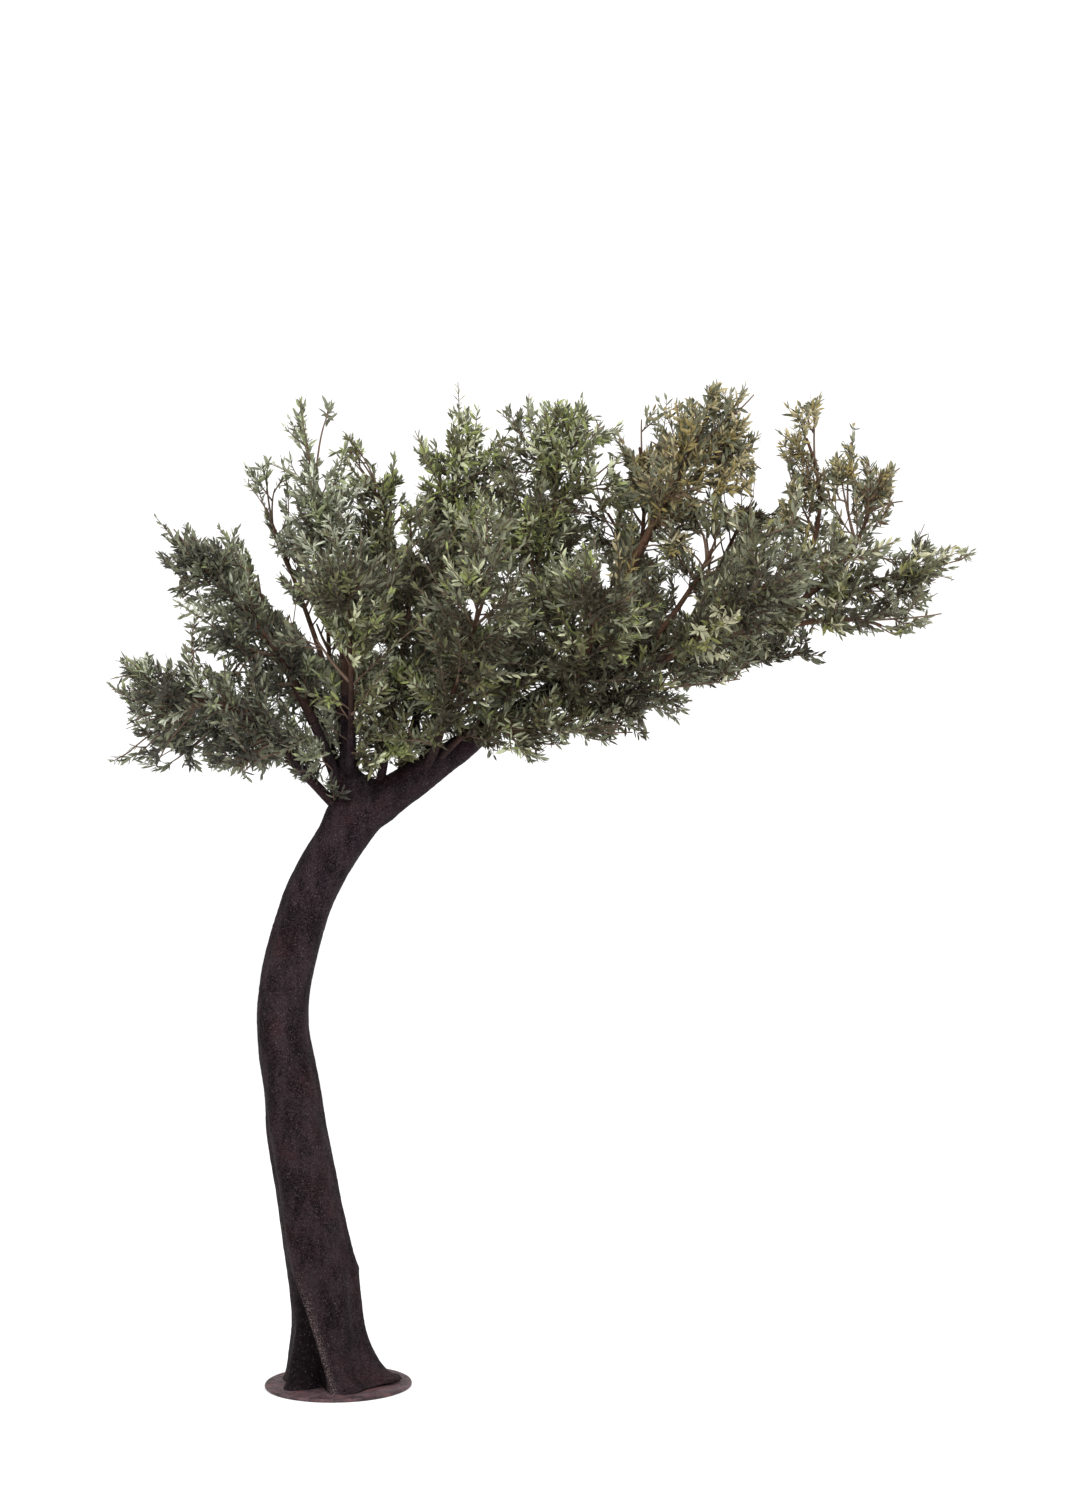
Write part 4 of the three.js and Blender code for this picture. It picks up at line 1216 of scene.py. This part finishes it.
class FoliageSettings(bpy.types.PropertyGroup):
    leaf_length: bpy.props.FloatProperty(
        name="Leaf length", description="Length of a full-grown leaf",
        default=0.036, min=0.01, max=0.12, unit="LENGTH")
    leaf_width: bpy.props.FloatProperty(
        name="Leaf width", description="Width of a full-grown leaf",
        default=0.01, min=0.003, max=0.05, unit="LENGTH")
    leaf_step: bpy.props.FloatProperty(
        name="Leaf spacing", description="Distance between two pairs of leaves on a twig",
        default=0.0125, min=0.005, max=0.1, unit="LENGTH")
    twig: tone_property("Twigs", "Colour of the twigs", colour(100, 78, 61))
    under: tone_property("Underside", "Silvery underside of the leaves", colour(120, 122, 100))
    __annotations__.update({
        f"{side}_{tone}": tone_property(
            f"{side.capitalize()}, {tone}", f"Leaves of the {tone} tone, {side} part of the crown",
            colour(*values))
        for side, row in LEAF_TONES.items() for tone, values in zip(TONES, row)
    })


class StudioSettings(bpy.types.PropertyGroup):
    floor: tone_property("Floor", "Colour of the floor", (0.88, 0.88, 0.88, 1.0))
    key_power: bpy.props.FloatProperty(
        name="Main light", description="Power of the large light above the front",
        default=400, min=0, unit="POWER")
    sky: bpy.props.FloatProperty(
        name="Surroundings", description="Brightness of the white surroundings", default=1.16, min=0, max=5)


# Pieces


def plate_surface():
    """The base plate as a profile turned about Z: flat underside, round rim, and a top that rises 1.4 mm to
    the foot and carries the shallow unevenness of the texture paint."""
    sides, edge = 144, PLATE_THICKNESS / 2
    turn, radius = np.linspace(0.1, math.pi - 0.5, 9), np.linspace(209, 12, 40)
    under = np.array(((60, 0), (140, 0), (PLATE_RADIUS - edge, 0)))
    rim = np.stack((PLATE_RADIUS - edge * (1 - np.sin(turn)), edge - edge * np.cos(turn)), -1)
    top = np.stack((radius, mix(8.3, 9.8, ((PLATE_RADIUS - edge - radius) / 200) ** 0.6)), -1)
    profile = np.concatenate((under, rim, top))
    angle = np.linspace(0, 2 * math.pi, sides, endpoint=False)
    radius = np.repeat(profile[:, :1], sides, 1)
    height = np.repeat(profile[:, 1:], sides, 1)
    rings = np.stack((radius * np.cos(angle), radius * np.sin(angle), height), -1)
    rough = 0.5 * layered_noise(rings / 26, 5.5, 3)
    inner = (np.arange(len(profile)) >= len(under) + len(rim))[:, None]
    rings[..., 2] = np.clip(rings[..., 2] + np.where(inner, rough - 0.3, 0), 0, PLATE_THICKNESS)
    quads, fans = tube_faces(len(profile), sides)
    ends = np.array(((0, 0, 0), (0, 0, 9.7)))
    return np.concatenate((rings.reshape(-1, 3), ends)), quads[:, ::-1], fans[:, ::-1]


def stem_tube(name, back, steps, sides, seed, depth):
    """The stem of a mass as a tube that starts some way back inside its bough."""
    stem = grown_as(name).mass.stem
    run_on = Bend(stem.at(0) - stem.along(0) * back, stem.places[1], stem.places[2], stem.radius)
    return tube(run_on, np.linspace(0, 1, steps), sides, bough_relief(run_on, seed, depth), 5.0)


def olive_limb(name, steps, sides, seed, depth):
    """A bough as one tapering tube from inside its parent, and the stem of its mass that runs on from it."""
    bough = seen_lines()[name]
    return stacked([
        tube(bough, np.linspace(0, 1, steps), sides, bough_relief(bough, seed, depth), 4.0),
        stem_tube(name, 12, 2 * steps, sides, seed + 3, depth),
    ])


# Fillets in the fork: start, middle and end of each, and its radii; and how low the trunk's skin reaches
FILLETS = (
    (((20, 0, 1700), (52, 0, 1755), (84, 0, 1790)), (52, 30)),
    (((25, 0, 1730), (0, -10, 1765), (-28, -22, 1800)), (42, 16)),
)
TRUNK_LOWEST = 4


class OLIVE_OT_plate(bpy.types.Operator):
    """Make the round base plate with its painted texture"""

    bl_idname = "olive.plate"
    bl_label = "Base plate"

    def execute(self, context):
        bark = context.scene.olive_bark
        points, quads, fans = plate_surface()
        plate = new_piece("painted_plate", points, (quads, fans), (plate_finish(bark),), smooth=True)
        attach(plate, "root")
        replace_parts(plate, "base_plate")
        return {"FINISHED"}


class OLIVE_OT_trunk(bpy.types.Operator):
    """Make the trunk and its two great boughs as one skin with the bark's relief"""

    bl_idname = "olive.trunk"
    bl_label = "Trunk"

    def execute(self, context):
        bark = context.scene.olive_bark
        lines = limb_lines()
        line = lines["trunk"]
        shares = np.linspace(0.035, 1, 340)
        shares = shares[line.station(shares)[:, 0] > 1]
        trunk = tube(line, shares, 112, trunk_relief(bark.relief), 30)
        trunk[0][:, 2] = np.maximum(trunk[0][:, 2], TRUNK_LOWEST)
        boughs = []
        for name, seed, slimmer in (("upright", 2.2, 0), ("main", 6.4, 16)):
            relief = bough_relief(lines[name], seed, bark.relief, slimmer)
            boughs.append(tube(lines[name], np.linspace(0, 1, 110), 48, relief, 6))
        fillets = [tube(Bend(*places, tapering(*radii)), np.linspace(0, 1, 20), 32, None, 12)
                   for places, radii in FILLETS]
        points, quads = fused(*stacked([trunk] + fillets + boughs), bark.grain / MM)
        fork = line.at(1) + np.array((0, 0, 40))
        near = bump(np.linalg.norm(points - fork, axis=1), 150)
        points = relaxed(points, quads, near, 40)
        points = relaxed(points, quads, np.full(len(points), 0.4), 1)
        pebbles = bark.relief * 0.7 * layered_noise(points / 11, 9.1, 2)
        points = points + vertex_normals(points, quads) * pebbles[:, None]
        points[:, 2] = np.maximum(points[:, 2], TRUNK_LOWEST)
        # The painted shade and the painted highlight of the foot, kept as attributes for the bark finish
        recess, ridge = foot_marks(points)
        piece = new_piece("bark_trunk", points, (quads,), (bark_finish("trunk_bark", bark),), smooth=True,
                          attributes={"recess": recess, "ridge": ridge})
        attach(piece, "root")
        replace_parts(piece, "trunk", "bough_upright", "bough_main")
        return {"FINISHED"}


class OLIVE_OT_boughs(bpy.types.Operator):
    """Make the other boughs and the stems that run on from them"""

    bl_idname = "olive.boughs"
    bl_label = "Boughs and stems"

    def execute(self, context):
        bark = context.scene.olive_bark
        parts = [stem_tube("upright", 60, 60, 16, 4.4, bark.relief)]
        parts += [olive_limb(row[0], 28, 14, 1.7 * number, bark.relief)
                  for number, row in enumerate(LIMBS) if row[0] not in ("main", "upright")]
        points, quads, fans = stacked(parts)
        from_fork = np.linalg.norm(points - limb_lines()["trunk"].at(1), axis=1)
        finish = bark_finish("bough_bark", bark, tuple(bark.bough))
        piece = new_piece("bark_boughs", points, (quads, fans), (finish,), smooth=True,
                          attributes={"age": np.clip((from_fork - 230) / 420, 0, 1)})
        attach(piece, "root")
        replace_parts(piece, *(f"bough_{row[0]}" for row in LIMBS if row[0] not in ("main", "upright")))
        return {"FINISHED"}


def twig_lines(side):
    """The twigs and runners of all masses on one side of the crown, as fine lines."""
    rows = [(line.places, index, TWIG_RADIUS, TWIG_END * 0.7)
            for index in masses_on(side) for line in growth()[index].lines[1:]]
    rows += [(line.places, index, RUNNER_RADIUS, RUNNER_END)
             for index, line in runners() if index in masses_on(side)]
    start, middle, end = np.moveaxis(np.array([row[0] for row in rows]), 1, 0)
    mass, thick, thin = np.array([row[1:] for row in rows], float).T
    none = np.full(len(rows), -1)
    return Fine(start, middle, end, thick, thin, mass.astype(int), none, none)


class OLIVE_OT_twigs(bpy.types.Operator):
    """Make the twigs of each side of the crown, down to those that carry the leaves"""

    bl_idname = "olive.twigs"
    bl_label = "Twigs"

    def execute(self, context):
        fine = twiglets()
        finish = twig_finish("twig_wrap", tuple(context.scene.olive_foliage.twig))
        for side, *_ in SIDES:
            indices = masses_on(side)
            own = fine.kept(np.isin(fine.mass, indices))
            points, quads, fans = stacked((
                many_tubes(twig_lines(side), 8, 6),
                many_tubes(own.kept(own.leader), 6, 4),
                many_tubes(own.kept(~own.leader), 4, 3),
            ))
            piece = new_piece(f"twigs_{side}", points, (quads, fans), (finish,), smooth=True)
            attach(piece, "root")
            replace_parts(piece, *(f"foliage_{growth()[i].mass.name}" for i in indices))
        return {"FINISHED"}


def leaf_meshes(root, direction, face, length, width):
    """Leaves as closed blades: a root, two sections of one edge, the raised rib and the other edge, and a
    tip. A point at share t lies at root + direction t length + side x + face (y - curl t^2 length). Returns
    points, quads and triangles, and for both kinds of face which are the leaf's underside."""
    count = len(root)
    side = np.cross(direction, face)

    def middle(share):
        bent = face * (LEAF_CURL * share ** 2 * length)[:, None]
        return root + direction * (share * length)[:, None] - bent

    points = np.empty((count, 8, 3))
    points[:, 0] = root
    points[:, 7] = middle(1)
    for first, share, half in zip((1, 4), LEAF_SHARES, LEAF_HALVES):
        out = side * (half * width)[:, None]
        points[:, first] = middle(share) + out
        points[:, first + 1] = middle(share) + face * (LEAF_RIB * width)[:, None]
        points[:, first + 2] = middle(share) - out
    corners = [(i, (i + 1) % 3) for i in range(3)]
    quads = np.array([(1 + this, 4 + this, 4 + after, 1 + after) for this, after in corners])
    fans = np.array([(0, 1 + this, 1 + after) for this, after in corners]
                    + [(7, 4 + after, 4 + this) for this, after in corners])
    start = (np.arange(count) * 8)[:, None, None]
    under = (False, False, True)
    return (points.reshape(-1, 3), (quads + start).reshape(-1, 4), (fans + start).reshape(-1, 3),
            np.tile(under, count), np.tile(under, 2 * count))


def leaf_tones(fine, line, root):
    """The tone of each leaf: 0 deep, 1 middle, 2 fresh, 3 pale. Its clump, its spray, its fine twig and the
    leaf itself each draw a share of it. The rest paints light and shade into the tones: more leaves draw a
    light tone high up and in front, and a deep one inside a mass and low down. Two places have a deeper
    painted shade and one has a painted pool of light."""
    spray = np.zeros(fine.spray.max() + 1)
    spray[fine.spray[fine.leader]] = dealt(fine.start[fine.leader], 41)
    spray = spray[fine.spray]
    twig = dealt(fine.end, 42)
    clump = layered_noise(fine.at(np.arange(len(twig)), np.full(len(twig), 0.5)) / 85, 6.2, 2)
    value = (0.38 * clump + 0.23 * spray + 0.22 * twig)[line] + 0.22 * dealt(root, 43)
    rank = np.argsort(np.argsort(value)) / len(value)
    # Painted light and shade: more light tones high up and in front, more deep tones inside the masses
    high = np.clip((root[:, 2] - 2150) / 650, 0, 1)
    front = np.clip(-root[:, 1] / 500, 0, 1)
    inside = 1 - np.clip(growth()[0].crown.depths(root).min(1), 0, 1)
    deep = np.clip(0.44 - 0.48 * high + 0.3 * inside * (1 - 0.7 * high) - 0.06 * front, 0.02, 0.8)
    light = np.clip(0.18 + 0.5 * high + 0.08 * front - 0.1 * inside, 0.04, 0.78)
    # Painted shade in two places and a painted pool of light in a third
    shade = around(root, 1230, 2290, 260, 130) + 0.6 * around(root, 640, 2700, 260, 220)
    glow = around(root, 150, 2200, 220, 170)
    deep = deep + 0.14 * shade - 0.1 * glow
    # Fewer light tones low on the crown: painted shade
    light = (light * (1 - 0.5 * shade) + 0.09 * glow) * np.clip((root[:, 2] - 1700) / 350, 0.2, 1)
    either = np.where((2.7 * spray + 5.1 * twig)[line] % 1 < 0.55, 2, 3)
    return np.where(rank > 1 - light, either, np.where(rank > deep, 1, 0))


class OLIVE_OT_leaves(bpy.types.Operator):
    """Make the leaves of each side of the crown, in pairs along the fine twigs"""

    bl_idname = "olive.leaves"
    bl_label = "Leaves"

    def execute(self, context):
        foliage = context.scene.olive_foliage
        fine = twiglets()
        root, direction, face, size, line = leaves_on(fine, foliage.leaf_step / MM, 0.16)
        roll = spread_about(root + direction, 51, 0.6)[:, None]
        side = np.cross(direction, face)
        face = face * np.cos(roll) + side * np.sin(roll)
        length = size * foliage.leaf_length / MM
        width = np.clip(size, 0.7, 1.2) * dealt(root + direction, 52, 0.85, 1.15) * foliage.leaf_width / MM
        keep = ~in_sky(root + direction * length[:, None] * 0.6)
        tones = leaf_tones(fine, line, root)
        mass = fine.mass[line]
        under = leaf_finish("leaf_under", tuple(foliage.under), 0.85, 0.6)
        for side_name, *_ in SIDES:
            upper = [leaf_finish(f"leaf_{side_name}_{tone}", tuple(getattr(foliage, f"{side_name}_{tone}")))
                     for tone in TONES]
            groups, group, total = [], [], 0
            for index in masses_on(side_name):
                count = int((keep & (mass == index)).sum())
                if group and total + count > PIECE_LEAVES:
                    groups.append(group)
                    group, total = [], 0
                group.append(index)
                total += count
            groups.append(group)
            for number, indices in enumerate(groups, 1):
                own = keep & np.isin(mass, indices)
                points, quads, fans, under_quads, under_fans = leaf_meshes(
                    root[own], direction[own], face[own], length[own], width[own])
                kinds = np.concatenate((
                    np.where(under_quads, len(TONES), np.repeat(tones[own], 3)),
                    np.where(under_fans, len(TONES), np.repeat(tones[own], 6)),
                ))
                finishes = (*upper, under)
                piece = new_piece(f"leaves_{side_name}_{number}", points, (quads, fans), finishes, kinds)
                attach(piece, "root")
                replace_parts(piece, *(f"foliage_{growth()[i].mass.name}" for i in indices))
        return {"FINISHED"}


def softbox(name, place, target, size, power):
    """A square area light at a place, turned to a target, both in metres."""
    light = bpy.data.lights.new(name, "AREA")
    light.shape = "SQUARE"
    light.size = size
    light.energy = power
    lamp = bpy.data.objects.new(name, light)
    bpy.context.scene.collection.objects.link(lamp)
    lamp.location = place
    toward = unit(np.subtract(target, place))
    lamp.rotation_euler = (math.acos(-toward[2]), 0, math.atan2(toward[0], -toward[1]) + math.pi)


class OLIVE_OT_studio(bpy.types.Operator):
    """Make the pale floor, soft lights, white surroundings and the camera at the photograph's angle"""

    bl_idname = "olive.studio"
    bl_label = "Studio"

    def execute(self, context):
        studio = context.scene.olive_studio
        sides = 64
        angle = np.linspace(0, 2 * math.pi, sides, endpoint=False)
        ring = FLOOR_RADIUS * np.stack((np.cos(angle), np.sin(angle), np.zeros(sides)), -1)
        nodes = Nodes("studio_floor")
        tint = nodes.mixed(nodes.noise(3, 2), tuple(studio.floor), darker(studio.floor, 0.985))
        finish = nodes.finish(tint, 0.9)
        fans = [(sides, i, (i + 1) % sides) for i in range(sides)]
        floor = new_piece("studio_floor", np.concatenate((ring, [(0, 0, 0)])), (fans,), (finish,))

        world = bpy.data.worlds.new("studio_white")
        world.use_nodes = True
        background = world.node_tree.nodes["Background"].inputs
        background["Color"].default_value = (1, 1, 1, 1)
        background["Strength"].default_value = studio.sky
        context.scene.world = world
        softbox("light_main", (-1.5, -5.5, 6.5), LIT_PLACE, 3.5, studio.key_power)
        softbox("light_right", (5.5, -3.0, 4.5), LIT_PLACE, 2.5, studio.key_power * 0.45)

        camera = bpy.data.cameras.new("photo_camera")
        camera.sensor_width = 36
        camera.lens = EYE_LENS
        view = bpy.data.objects.new("photo_camera", camera)
        context.scene.collection.objects.link(view)
        view.location = EYE * MM
        view.rotation_euler = (math.radians(EYE_TURN), 0, 0)
        context.scene.camera = view
        context.scene.view_settings.view_transform = "Standard"
        return {"FINISHED"}


STEPS = (OLIVE_OT_plate, OLIVE_OT_trunk, OLIVE_OT_boughs, OLIVE_OT_twigs, OLIVE_OT_leaves, OLIVE_OT_studio)


class OLIVE_PT_panel(bpy.types.Panel):
    """The steps of the olive tree with their settings"""

    bl_idname = "OLIVE_PT_panel"
    bl_label = "Olive tree"
    bl_space_type = "VIEW_3D"
    bl_region_type = "UI"
    bl_category = "Olive tree"

    def draw(self, context):
        for step in STEPS:
            self.layout.operator(step.bl_idname)
        for key in SETTINGS:
            settings = getattr(context.scene, key)
            box = self.layout.box()
            for name in settings.bl_rna.properties.keys():
                if name not in ("rna_type", "name"):
                    box.prop(settings, name)


SETTINGS = {"olive_bark": BarkSettings, "olive_foliage": FoliageSettings, "olive_studio": StudioSettings}
CLASSES = (*SETTINGS.values(), *STEPS, OLIVE_PT_panel)


def register():
    for item in CLASSES:
        bpy.utils.register_class(item)
    for key, group in SETTINGS.items():
        setattr(bpy.types.Scene, key, bpy.props.PointerProperty(type=group))


def unregister():
    for key in SETTINGS:
        delattr(bpy.types.Scene, key)
    for item in reversed(CLASSES):
        bpy.utils.unregister_class(item)


def main():
    """Make every piece in turn."""
    register()
    bpy.ops.olive.plate()
    bpy.ops.olive.trunk()
    bpy.ops.olive.boughs()
    bpy.ops.olive.twigs()
    bpy.ops.olive.leaves()
    bpy.ops.olive.studio()


if __name__ == "__main__":
    main()
